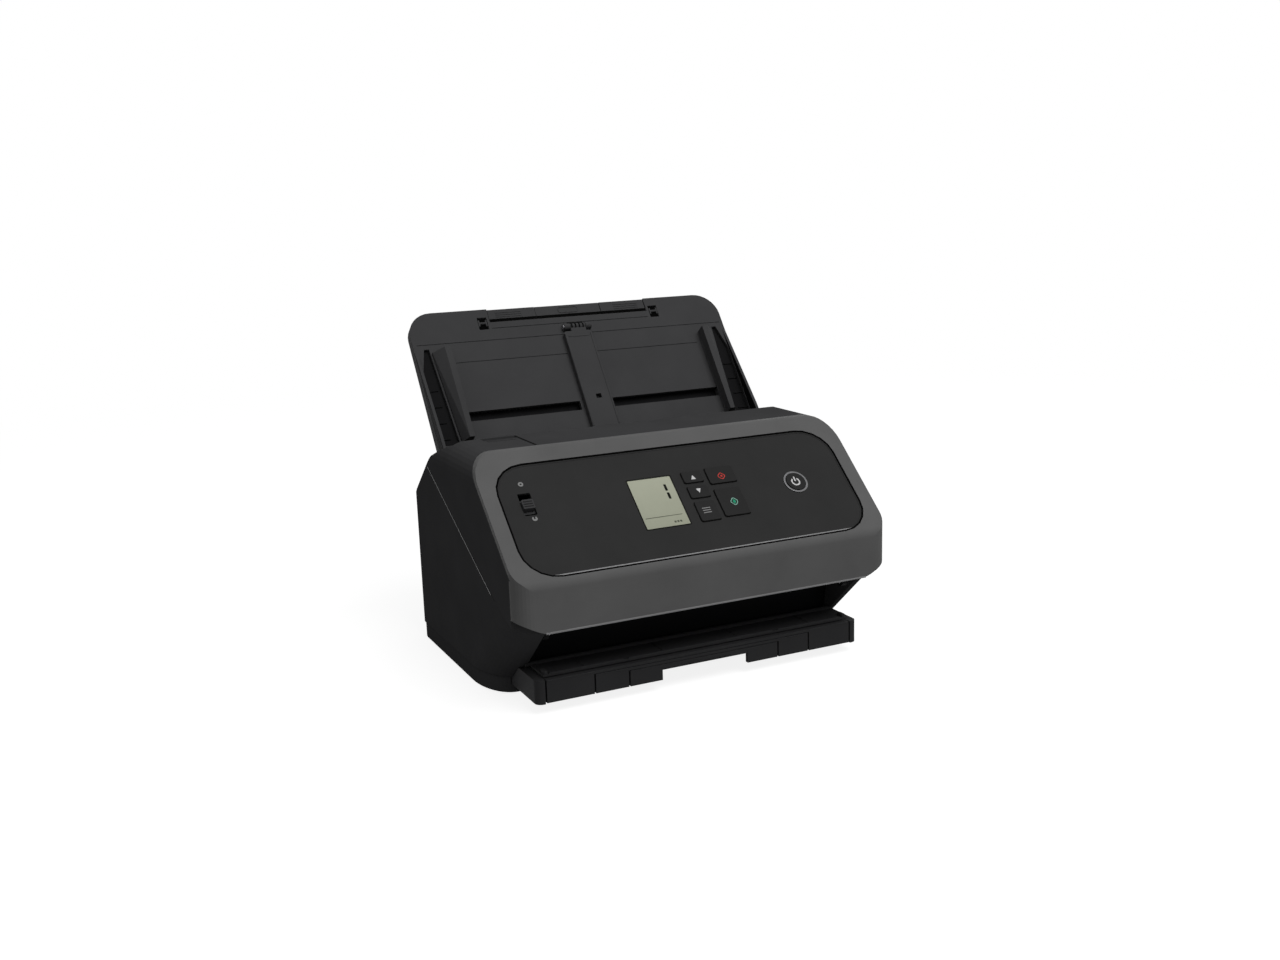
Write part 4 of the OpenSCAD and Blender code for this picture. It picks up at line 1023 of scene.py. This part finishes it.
@dataclass(frozen=True)
class FaceMarks:
    """The digit in the window, and the selector's two round symbols."""

    stroke: Point2 = (2.0, 5.6)
    stroke_off: float = 3.6
    symbol_radii: Point2 = (0.75, 1.9)
    fill: Point2 = (2.0, 1.3)
    fill_off: Point2 = (0.4, -0.9)

    def digit(self) -> None:
        """The digit, of two strokes."""
        x, y = on_frame("digit", PANEL, "display_window")
        shape = Shape(PANEL)
        for step in (-self.stroke_off, self.stroke_off):
            shape.slab(around((x, y + step), *self.stroke), *GLASS_INK, 0.5)
        REPORT["digit"] = shape.finish("display_digit", UPPER, Look.DISPLAY_INK, DISPLAY_SLOT)

    def symbols(self) -> None:
        """An open symbol, and one that is half filled."""
        low, high = ink_ends(PANEL_FACE)
        ring = hoop(*self.symbol_radii, low, high)
        x, y = on_frame("selector_mark_high", PANEL, "control_panel")
        mark = Shape(PANEL).turned(ring, (x, y, 0.0), sweep=359.0, steps=28)
        REPORT["selector_mark_high"] = mark.finish("selector_open_mark", UPPER, Look.GREY_INK, PANEL_SLOT)
        x, y = on_frame("selector_mark_low", PANEL, "control_panel")
        mark = Shape(PANEL).turned(ring, (x, y, 0.0), sweep=300.0, start=120.0, steps=28)
        place = (x + self.fill_off[0], y + self.fill_off[1])
        mark.slab(around(place, *self.fill), low, high + OVERLAY, 0.3)
        REPORT["selector_mark_low"] = mark.finish("selector_shut_mark", UPPER, Look.GREY_INK, PANEL_SLOT)

    def build(self) -> None:
        """Makes the marks."""
        self.digit()
        self.symbols()


@dataclass(frozen=True)
class FrameLipHighlight:
    """A painted highlight along the lower edge of the front frame, where its rounded lip catches the light."""

    low: float = 61.7
    thick: float = 1.3
    corner_room: float = 20.0
    ends: Point2 = (-1.0, 0.12)

    def build(self) -> None:
        """Lays the painted highlight strip along the straight part of the lip."""
        left, right = (place_on(name, [node("front_frame")]) / MM for name in ("lip_left", "lip_right"))
        reach = min(HALF_W - self.corner_room, max(abs(left.x), abs(right.x)))
        across = LocalFrame(FRONT_Y, self.low, 90.0)
        strip = Shape(across).slab(rectangle(-reach, reach, SINK, self.thick), *self.ends, 0.3, 0.1)
        strip.finish("frame_lip_painted_highlight", UPPER, Look.PAINTED_HIGHLIGHT, CHARCOAL_SLOT)


FRONT_FACE = LocalFrame(FRONT_Y + 15.7, 0.0, 90.0)
BACK_FACE = LocalFrame(BACK_Y, 0.0, 90.0)
BOARD_FACE = LocalFrame(BACK_Y - 16.0, 0.0, 90.0)
FLAP_Y = FRONT_Y + 19.8
CHEEK = [(-17.5, 0.1), (-5.8, 8.6), (5.8, 8.1), (78.0, 0.5), (78.0, 0.1)]
POCKET = [(119.3, 1.8), (133.7, 1.8), (133.7, 66.0), (128.7, 86.2), (124.4, 86.2)]
SCREWS = ((139.0, FRONT_Y + 108.0), (139.0, BACK_Y - 28.0))
# The painted highlight where the seam's edge catches the light; it rises with the seam towards the back
SEAM_SLOPE = math.tan(math.radians(26.8))
SEAM_HIGHLIGHT = [
    (y, 135.4 + (y - 33.039) * SEAM_SLOPE - below)
    for y, below in ((-77.0, 0.9), (53.5, 0.9), (53.5, 0.0), (-77.0, 0.0))
]
CONTACTS = [rectangle(x - 0.35, x + 0.35, BACK_Y - 12.0, BACK_Y - 4.0) for x in (67.9, 70.1)]
PIN_AXIS = (95.0, 3.0)


def ranks(first: Point2, pitch: Point2, counts: tuple[int, int], size: Point2) -> list[list[Point2]]:
    """The corners of equal rectangles in columns and rows.

    Args:
        first: The middle of the first one.
        pitch: From one column to the next, and from one row to the next.
        counts: Number of columns and of rows.
        size: Width and length of each.

    Returns:
        The corners of each, column by column.
    """
    return [
        around((first[0] + column * pitch[0], first[1] + row * pitch[1]), *size)
        for column in range(counts[0]) for row in range(counts[1])
    ]


@dataclass(frozen=True)
class Flat:
    """Flat solids between the same ends; closed strips where they have a width."""

    outlines: Sequence[Sequence[Point2]]
    ends: Point2
    corner: float = 0.0
    soft: float = 0.0
    width: float = 0.0

    def add(self, shape: Shape) -> None:
        """Adds them to a shape."""
        for outline in self.outlines:
            if self.width > 0:
                shape.band(outline, self.width, *self.ends, self.corner, self.soft)
            else:
                shape.slab(outline, *self.ends, self.corner, self.soft)


@dataclass(frozen=True)
class Round:
    """Turned solids of one section, each with its axis along X from its foot."""

    section: Sequence[Point2]
    feet: Sequence[tuple[float, float, float]]
    sweep: float = 360.0
    start: float = 0.0
    steps: int = 20

    def add(self, shape: Shape) -> None:
        """Adds them to a shape."""
        for foot in self.feet:
            shape.turned(self.section, foot, "X", self.sweep, self.start, self.steps)


@dataclass(frozen=True)
class Detail:
    """A small piece that the solids leave out.

    Its solids may be drawn in Y and Z and stood upright, and may be mirrored across X
    before the single ones are added.
    """

    name: str
    body: str
    look: Look
    slot: str
    where: LocalFrame
    solids: Sequence[Flat | Round]
    upright: bool = False
    paired: bool = False
    single: Sequence[Flat | Round] = ()

    def build(self) -> None:
        """Makes the piece."""
        shape = Shape(self.where)
        for solid in self.solids:
            solid.add(shape)
        if self.upright:
            shape.stand()
        if self.paired:
            shape.both_sides()
        for solid in self.single:
            solid.add(shape)
        shape.finish(self.name, self.body, self.look, self.slot)


def shaft_details(
    body: str, y: float, z: float, x: float, half_width: float, radius: float,
) -> tuple[Detail, Detail]:
    """The clips on one shaft and the hubs beside its rollers.

    Args:
        body: The shaft's body.
        y: Where its axis is, from front to back.
        z: The height of its axis.
        x: The middle of its outer rollers.
        half_width: Half a roller's width.
        radius: A roller's radius.

    Returns:
        The two pieces.
    """
    bore = 3.02
    clips = Round(hoop(bore, 4.8, 0, 0.6), [(end, y, z) for end in (-134.3, -130.4)], 300.0, 30.0, 24)
    middles = [side * x + end * (half_width + 0.6) for side in (-1.0, 1.0) for end in (-1.0, 1.0)]
    hubs = Round(hoop(bore, radius - 1.2, -0.5, 0.5), [(x, y, z) for x in middles], FULL_RING, steps=36)
    return (
        Detail(body + "_clips", body, Look.ALLOY, STEEL_SLOT, PART, [clips]),
        Detail(body + "_hubs", body, Look.NYLON, STEEL_SLOT, PART, [hubs]),
    )


DETAILS: tuple[Detail, ...] = (
    # The rule and the sheet marks in the window, and a band of painted shade round it, where the window is
    # recessed
    Detail("display_rule", UPPER, Look.FAINT_INK, DISPLAY_SLOT, PANEL, [
        Flat([rectangle(-37.0, -8.5, 34.75, 35.25)], GLASS_INK),
    ]),
    Detail("display_sheet_marks", UPPER, Look.FAINT_INK, DISPLAY_SLOT, PANEL, [
        Flat(ranks((-16.0, 29.45), (2.2, 0.0), (3, 1), (1.5, 1.6)), GLASS_INK, 0.2),
    ]),
    Detail("display_recess_painted_shade", UPPER, Look.DISPLAY_RECESS_SHADE, DISPLAY_SLOT, PANEL, [
        Flat([around((-22.2, 47.2), 35.4, 44.1)], (-0.62, -0.48), 1.2, width=0.9),
    ]),
    # A bead round the panel, a painted highlight along its foot where the chamfer catches the light, and a black
    # band of painted shade in its gap
    Detail("panel_edge_bead", UPPER, Look.PANEL, PANEL_SLOT, PANEL, [
        Flat([rectangle(-133.5, 133.5, 0.8, 93.2)], (-2.2, -0.35), 23.2, 0.2, width=1.1),
    ]),
    Detail("panel_foot_painted_highlight", UPPER, Look.PAINTED_HIGHLIGHT, PANEL_SLOT, PANEL, [
        Flat([rectangle(-116.3, 116.3, 0.82, 1.9)], (-0.6, -0.3), 0.4, 0.1),
    ]),
    Detail("panel_gap_painted_shade", UPPER, Look.GAP_SHADE, PANEL_SLOT, PANEL, [
        Flat([rectangle(-134.8, 134.8, -0.5, 94.5)], (-0.4, 0.04), 24.5, width=1.2),
    ]),
    # Three ridges across the selector's knob
    Detail("selector_knob_ridges", "feed_selector", Look.KEY, KEY_SLOT, PANEL, [
        Flat(ranks((-116.1, 57.4), (0.0, 2.0), (1, 3), (6.6, 0.7)), (1.38, 1.75), 0.2, 0.15),
    ]),
    # A thin painted highlight along the seam on each side, where the base's edge catches the light
    Detail("side_seam_painted_highlights", "base", Look.SEAM_HIGHLIGHT, BLACK_SLOT, PART, [
        Flat([SEAM_HIGHLIGHT], (HALF_W - 0.6, HALF_W + 0.08)),
    ], upright=True, paired=True),
    # Fine ridges where a finger lifts the release lever
    Detail("release_lever_ridges", "release_lever", Look.BLACK, CHARCOAL_SLOT, PART, [
        Flat(ranks((-104.25, 3.4), (0.0, -1.8), (1, 4), (22.0, 0.7)), (169.18, 169.5), 0.3, 0.15),
    ]),
    # Painted shade: dark floors under the two slots that the guides slide in
    Detail("tray_slot_painted_shade", "feed_tray", Look.CAVITY_SHADE, CHARCOAL_SLOT, TRAY, [
        Flat([rectangle(13.0, 117.0, 19.0, 38.0)], (-6.58, -6.3), 1.0),
    ], paired=True),
    # Painted shade: dark floors of the pockets outside the guides, and dark ribs in them
    Detail("tray_pocket_painted_shade", "feed_tray", Look.CAVITY_SHADE, CHARCOAL_SLOT, TRAY, [
        Flat([POCKET], (-3.1, -2.6), 0.5),
    ], paired=True),
    Detail("tray_pocket_ribs", "feed_tray", Look.CAVITY_SHADE, CHARCOAL_SLOT, TRAY, [
        Flat([rectangle(125.0, 133.4, y, y + 0.9) for y in (8.0, 22.0, 36.0, 50.0)], (-2.7, -1.8), 0.2),
    ], paired=True),
    # Painted shade: dark faces on both sides of the cheeks that rise towards the tray's foot
    Detail("tray_cheek_painted_shade", "feed_tray", Look.CAVITY_SHADE, CHARCOAL_SLOT, TRAY, [
        Flat([CHEEK], (136.2, 136.42)),
        Flat([CHEEK], (133.86, 134.05)),
    ], upright=True, paired=True),
    # Painted shade: black floors of the small pockets, and of the gap below the extension
    Detail("tray_well_painted_shade", "feed_tray", Look.GAP_SHADE, CHARCOAL_SLOT, TRAY, [
        Flat([rectangle(71.7, 79.3, 100.2, 110.8)], (-1.62, -1.5)),
    ], paired=True, single=[Flat([rectangle(-4.9, 8.5, 90.2, 100.4)], (-1.62, -1.5))]),
    Detail("extension_foot_shadow", "extension_outer", Look.GAP_SHADE, DARK_SLOT, TRAY, [
        Flat([rectangle(-68.8, 68.8, 107.8, 109.4)], (-0.64, -0.52)),
    ]),
    # The pins and posts in the two pockets beside the extension
    Detail("tray_catches", "feed_tray", Look.TRAY, CHARCOAL_SLOT, TRAY, [
        Round(((0, 0), (1.0, 0), (1.0, 6.6), (0.7, 6.9), (0, 6.9)), [(72.2, 106.0, -0.7)]),
        Flat([rectangle(x, x + 1.2, 103.2, 108.6) for x in (72.0, 78.0)], (-1.6, 0.1), 0.3, 0.15),
    ], paired=True),
    # Raised sides along the arm, the heads of its pin, and black rings of painted shade for grooves round its
    # knuckle
    Detail("arm_side_rails", "support_arm", Look.TRAY, BLACK_SLOT, TRAY, [
        Flat([rectangle(x, x + 1.4, 3.0, 88.0) for x in (-11.3, 10.7)], (4.38, 4.75), 0.4, 0.15),
        Flat([rectangle(-8.6, 9.4, 84.6, 86.0)], (4.38, 4.7), 0.4, 0.12),
    ]),
    Detail("arm_pin_heads", "support_arm", Look.STEEL, BLACK_SLOT, TRAY, [
        Round(((0, 0), (1.9, 0), (1.9, 0.3), (1.5, 0.5), (0, 0.5)), [(x, *PIN_AXIS) for x in (-10.6, 13.7)]),
    ]),
    Detail("arm_knuckle_groove_shade", "support_arm", Look.GAP_SHADE, BLACK_SLOT, TRAY, [
        Round(hoop(2.0, 2.46, 0, 1.2), [(x, *PIN_AXIS) for x in (-4.2, -0.9, 2.4, 5.7)], FULL_RING, steps=32),
    ]),
    # Grip ridges on the two stages of the extension
    Detail("extension_outer_grip", "extension_outer", Look.TRAY, DARK_SLOT, TRAY, [
        Flat(ranks((-52.0, 111.2), (104.0, 1.9), (2, 3), (22.0, 0.8)), (-0.62, -0.25), 0.3, 0.12),
    ]),
    Detail("extension_inner_grip", "extension_inner", Look.TRAY, DARK_SLOT, TRAY, [
        Flat([around((0.0, 113.6), 18.0, 5.6)], (-0.92, -0.5), 2.4, 0.12, width=0.7),
    ]),
    # A fine ledge along the foot of each guide's inner face
    Detail("left_guide_ledge", "left_guide", Look.TRAY, CHARCOAL_SLOT, TRAY, [
        Flat([rectangle(-109.98, -109.5, 4.0, 81.0)], (0.6, 1.6), 0.1),
    ]),
    Detail("right_guide_ledge", "right_guide", Look.TRAY, CHARCOAL_SLOT, TRAY, [
        Flat([rectangle(109.5, 109.98, 4.0, 81.0)], (0.6, 1.6), 0.1),
    ]),
    # The bar along the flap's front edge, the ears at its ends and the ribs behind it
    Detail("eject_flap_bars", "eject_flap", Look.EJECT, DARK_SLOT, PART, [
        Flat([rectangle(*ends, FLAP_Y + 0.1, FLAP_Y + 1.7)
              for ends in ((-117.0, -62.0), (-58.0, 58.0), (62.0, 117.0))], (26.85, 27.7), 0.3, 0.2),
        Flat([rectangle(*ends, FLAP_Y + 0.4, FLAP_Y + 7.0)
              for ends in ((-120.8, -118.0), (118.0, 120.8))], (26.85, 29.4), 0.9, 0.4),
        Flat([rectangle(x - 0.5, x + 0.5, FLAP_Y + 1.5, FLAP_Y + 21.5)
              for x in (-90.0, -30.0, 30.0, 90.0)], (26.85, 27.4), 0.2, 0.15),
    ]),
    # The finger grip and the front edges of the eject tray's stages
    Detail("eject_finger_grip", "eject_stage_3", Look.EJECT, DARK_SLOT, FRONT_FACE, [
        Flat(ranks((0.0, 16.1), (0.0, 0.65), (1, 3), (40.0, 0.28)), (-0.02, 0.16), 0.1),
    ]),
    Detail("eject_stage_1_front_edge", "eject_stage_1", Look.DARK, DARK_SLOT, FRONT_FACE, [
        Flat([rectangle(86.6, 120.6, 23.7, 24.3)], (-0.02, 0.14), 0.2),
    ], paired=True),
    Detail("eject_stage_2_front_edge", "eject_stage_2", Look.DARK, DARK_SLOT, FRONT_FACE, [
        Flat([rectangle(60.6, 84.6, 21.3, 21.9)], (-0.02, 0.14), 0.2),
    ], paired=True),
    *shaft_details("feed_drive", 22.82, 120.75, 14.0, 9.0, 9.0),
    *shaft_details("transport_drive", -7.98, 106.32, 52.0, 13.0, 8.0),
    *shaft_details("eject_drive", -65.99, 77.01, 52.0, 13.0, 8.0),
    Detail("motor_end_cap", "base", Look.ALLOY, STEEL_SLOT, PART, [
        Round(((0, 0), (6.5, 0), (7.0, 0.4), (7.0, 1.4), (0, 1.4)), [(88.15, 5.04, 62.0)], steps=40),
    ]),
    # The bare plate on the back, the screws' crosses in painted shade, and the sockets' contacts
    Detail("bare_plate", "base", Look.PLATE, BLACK_SLOT, BACK_FACE, [
        Flat([rectangle(20.0, 120.0, 76.0, 96.0)], (-0.12, 0.3), 1.5),
    ]),
    Detail("screw_cross_shade", "base", Look.CAVITY_SHADE, STEEL_SLOT, PART, [
        Flat([around(place, 3.6, 0.8) for place in SCREWS], (1.62, 1.72)),
        Flat([around(place, 0.8, 3.6) for place in SCREWS], (1.61, 1.73)),
    ], paired=True),
    Detail("socket_contacts", "base", Look.BRASS, STEEL_SLOT, PART, [
        Flat(CONTACTS, (36.98, 37.1)),
        Flat(CONTACTS, (32.9, 33.02)),
    ]),
    # Legs and small parts on the two circuit boards
    Detail("chip_legs", "base", Look.ALLOY, BOARD_SLOT, BOARD_FACE, [
        Flat(ranks((-57.0, 48.6), (2.4, 32.8), (11, 2), (0.7, 2.8)), (0.0, 0.5)),
    ]),
    Detail("board_small_parts", "base", Look.SENSOR, BOARD_SLOT, BOARD_FACE, [
        Flat(ranks((26.0, 60.0), (5.0, 5.0), (7, 3), (2.4, 1.3)), (0.0, 0.9), 0.1, 0.1),
    ]),
    Detail("panel_board_parts", UPPER, Look.SENSOR, BOARD_SLOT, PANEL, [
        Flat(ranks((-50.0, 78.0), (6.0, 0.0), (8, 1), (3.0, 1.5)), (-10.42, -9.4), 0.1, 0.1),
    ]),
)


# ---------------------------------------------------------------- studio

@dataclass(frozen=True)
class Studio:
    """A plain pale floor, soft lamps and a white surround."""

    floor_size: float = 9.0
    fill: float = 0.3
    key: float = 36.0
    key_place: tuple[float, float, float] = (0.45, -1.25, 2.15)
    key_size: float = 1.6
    rim: float = 0.5
    rim_place: tuple[float, float, float] = (-1.9, 0.6, 1.5)
    rim_size: float = 1.4
    aim: tuple[float, float, float] = (0.0, 0.0, 0.12)
    glow: float = 0.86
    fade_start: float = 0.35
    fade_length: float = 1.2

    def build(self) -> None:
        """Makes the floor, the lamps and the world."""
        bpy.context.scene.view_settings.view_transform = "Standard"
        self._world()
        self._floor()
        self._lamp("key_lamp", self.key_place, self.key, self.key_size)
        self._lamp("side_lamp", self.rim_place, self.rim, self.rim_size)

    def _world(self) -> None:
        """Lights the object at a plain level, and shows white to the camera."""
        world = bpy.data.worlds.new("studio")
        bpy.context.scene.world = world
        world.use_nodes = True
        tree = world.node_tree
        tree.nodes.clear()
        path = tree.nodes.new("ShaderNodeLightPath")
        seen = Value(tree, path.outputs["Is Camera Ray"]) + Value(tree, path.outputs["Is Transmission Ray"])
        seen = (seen + Value(tree, path.outputs["Is Glossy Ray"])).limit()
        strength = seen * (1.0 - self.fill) + self.fill
        back = tree.nodes.new("ShaderNodeBackground")
        back.inputs["Color"].default_value = (1.0, 1.0, 1.0, 1.0)
        tree.links.new(strength.socket, back.inputs["Strength"])
        out = tree.nodes.new("ShaderNodeOutputWorld")
        tree.links.new(back.outputs[0], out.inputs["Surface"])

    def _floor(self) -> None:
        """A pale floor that keeps the object's shadow and fades to white far away."""
        shape = bmesh.new()
        bmesh.ops.create_grid(shape, x_segments=8, y_segments=8, size=self.floor_size)
        mesh = bpy.data.meshes.new("floor")
        shape.to_mesh(mesh)
        shape.free()
        floor = bpy.data.objects.new("floor", mesh)
        bpy.context.scene.collection.objects.link(floor)
        recipe = Recipe("pale_floor")
        length = recipe.node("ShaderNodeVectorMath", {"operation": "LENGTH"}, Vector=recipe.coords())
        far = ((Value(recipe.tree, length.outputs["Value"]) - self.fade_start) / self.fade_length).limit()
        path = recipe.node("ShaderNodeLightPath")
        seen = recipe.value(path, "Is Camera Ray") + recipe.value(path, "Is Transmission Ray")
        seen = (seen + recipe.value(path, "Is Glossy Ray")).limit()
        cloth = recipe.noise(400.0)
        shade = recipe.blend(cloth, (0.3, 0.3, 0.3), (0.32, 0.32, 0.32))
        plain = recipe.node("ShaderNodeBsdfDiffuse", Color=shade)
        glow = recipe.node("ShaderNodeEmission", Color=(1.0, 1.0, 1.0), Strength=self.glow)
        dark = recipe.node("ShaderNodeEmission", Color=(0.0, 0.0, 0.0), Strength=0.0)
        lift = recipe.node("ShaderNodeMixShader", Fac=seen)
        recipe.tree.links.new(dark.outputs[0], lift.inputs[1])
        recipe.tree.links.new(glow.outputs[0], lift.inputs[2])
        near = recipe.node("ShaderNodeAddShader")
        recipe.tree.links.new(plain.outputs[0], near.inputs[0])
        recipe.tree.links.new(lift.outputs[0], near.inputs[1])
        white = recipe.node("ShaderNodeEmission", Color=(1.0, 1.0, 1.0), Strength=1.0)
        mixed = recipe.node("ShaderNodeMixShader", Fac=far * seen)
        recipe.tree.links.new(near.outputs[0], mixed.inputs[1])
        recipe.tree.links.new(white.outputs[0], mixed.inputs[2])
        out = recipe.node("ShaderNodeOutputMaterial")
        recipe.tree.links.new(mixed.outputs[0], out.inputs["Surface"])
        mesh.materials.append(recipe.material)
        floor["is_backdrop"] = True

    def _lamp(self, name: str, place: tuple[float, float, float], power: float, size: float) -> None:
        """One soft square lamp, aimed at the object."""
        data = bpy.data.lights.new(name, "AREA")
        data.energy = power
        data.size = size
        lamp = bpy.data.objects.new(name, data)
        bpy.context.scene.collection.objects.link(lamp)
        aim = Vector(self.aim) - Vector(place)
        lamp.matrix_world = Matrix.Translation(place) @ aim.to_track_quat("-Z", "Y").to_matrix().to_4x4()


# ---------------------------------------------------------------- image points of the finished scene

class Reach(Enum):
    """Which end of the outline an image point marks."""

    LEFT = "left"
    RIGHT = "right"
    TOP = "top"
    BOTTOM = "bottom"


CORNERS: dict[str, str] = {
    "tray_top_left": "feed_tray",
    "tray_top_right": "feed_tray",
    "eject_front_left": "eject_tray_base",
    "eject_front_right": "eject_tray_base",
}
MIDDLES: dict[str, str] = {"power_ring": "power_ring", "display": "display_window"}


def shown(things: Iterable[bpy.types.Object], tree: BVHTree) -> np.ndarray:
    """Image places of the finished vertices of objects that the camera sees.

    Args:
        things: The objects.
        tree: A search tree of all that could hide them.

    Returns:
        One row of x and y for each vertex that shows.
    """
    depsgraph = bpy.context.evaluated_depsgraph_get()
    eye = Vector(CAMERA.place) * MM
    places: list[Vector] = []
    for thing in things:
        seen = thing.evaluated_get(depsgraph)
        mesh = seen.to_mesh()
        for vertex in mesh.vertices:
            place = seen.matrix_world @ vertex.co
            aim = place - eye
            hit = tree.ray_cast(eye, aim.normalized())[3]
            if hit is None or hit > aim.length - NEAR_HIT:
                places.append(place)
        seen.to_mesh_clear()
    return CAMERA.pixels(np.array([tuple(p) for p in places])) if places else np.empty((0, 2))


def write_points() -> None:
    things = [t for t in bpy.context.scene.objects if t.type == "MESH" and t.name != "floor" and not t.hide_render]
    tree = mesh_tree(things)
    outline = shown(things, tree)
    for name, point in POINTS.items():
        if name.startswith("object_"):
            reach = Reach(name.split("_")[1])
            axis = 0 if reach in (Reach.LEFT, Reach.RIGHT) else 1
            best = outline[:, axis].argmin() if reach in (Reach.LEFT, Reach.TOP) else outline[:, axis].argmax()
            place = outline[best]
        elif name in CORNERS or name.startswith("lip_"):
            near = shown([node(CORNERS[name])] if name in CORNERS else [node("front_frame")], tree)
            place = near[np.linalg.norm(near - np.array(point), axis=1).argmin()] if len(near) else None
        else:
            near = shown([REPORT[name]] if name in REPORT else [node(MIDDLES[name])], tree)
            place = (near.min(axis=0) + near.max(axis=0)) / 2 if len(near) else None
        "hidden" if place is None else [round(float(v), 2) for v in place - np.array(point)]


def main() -> None:
    """Builds the scene in order."""
    logging.basicConfig(level=logging.INFO, format="%(name)s: %(message)s")
    CAMERA.build()
    Studio().build()
    dress_cad()
    for maker in (KeyMarks(), FaceMarks(), FrameLipHighlight(), *DETAILS):
        maker.build()
    write_points()


if __name__ == "__main__":
    main()
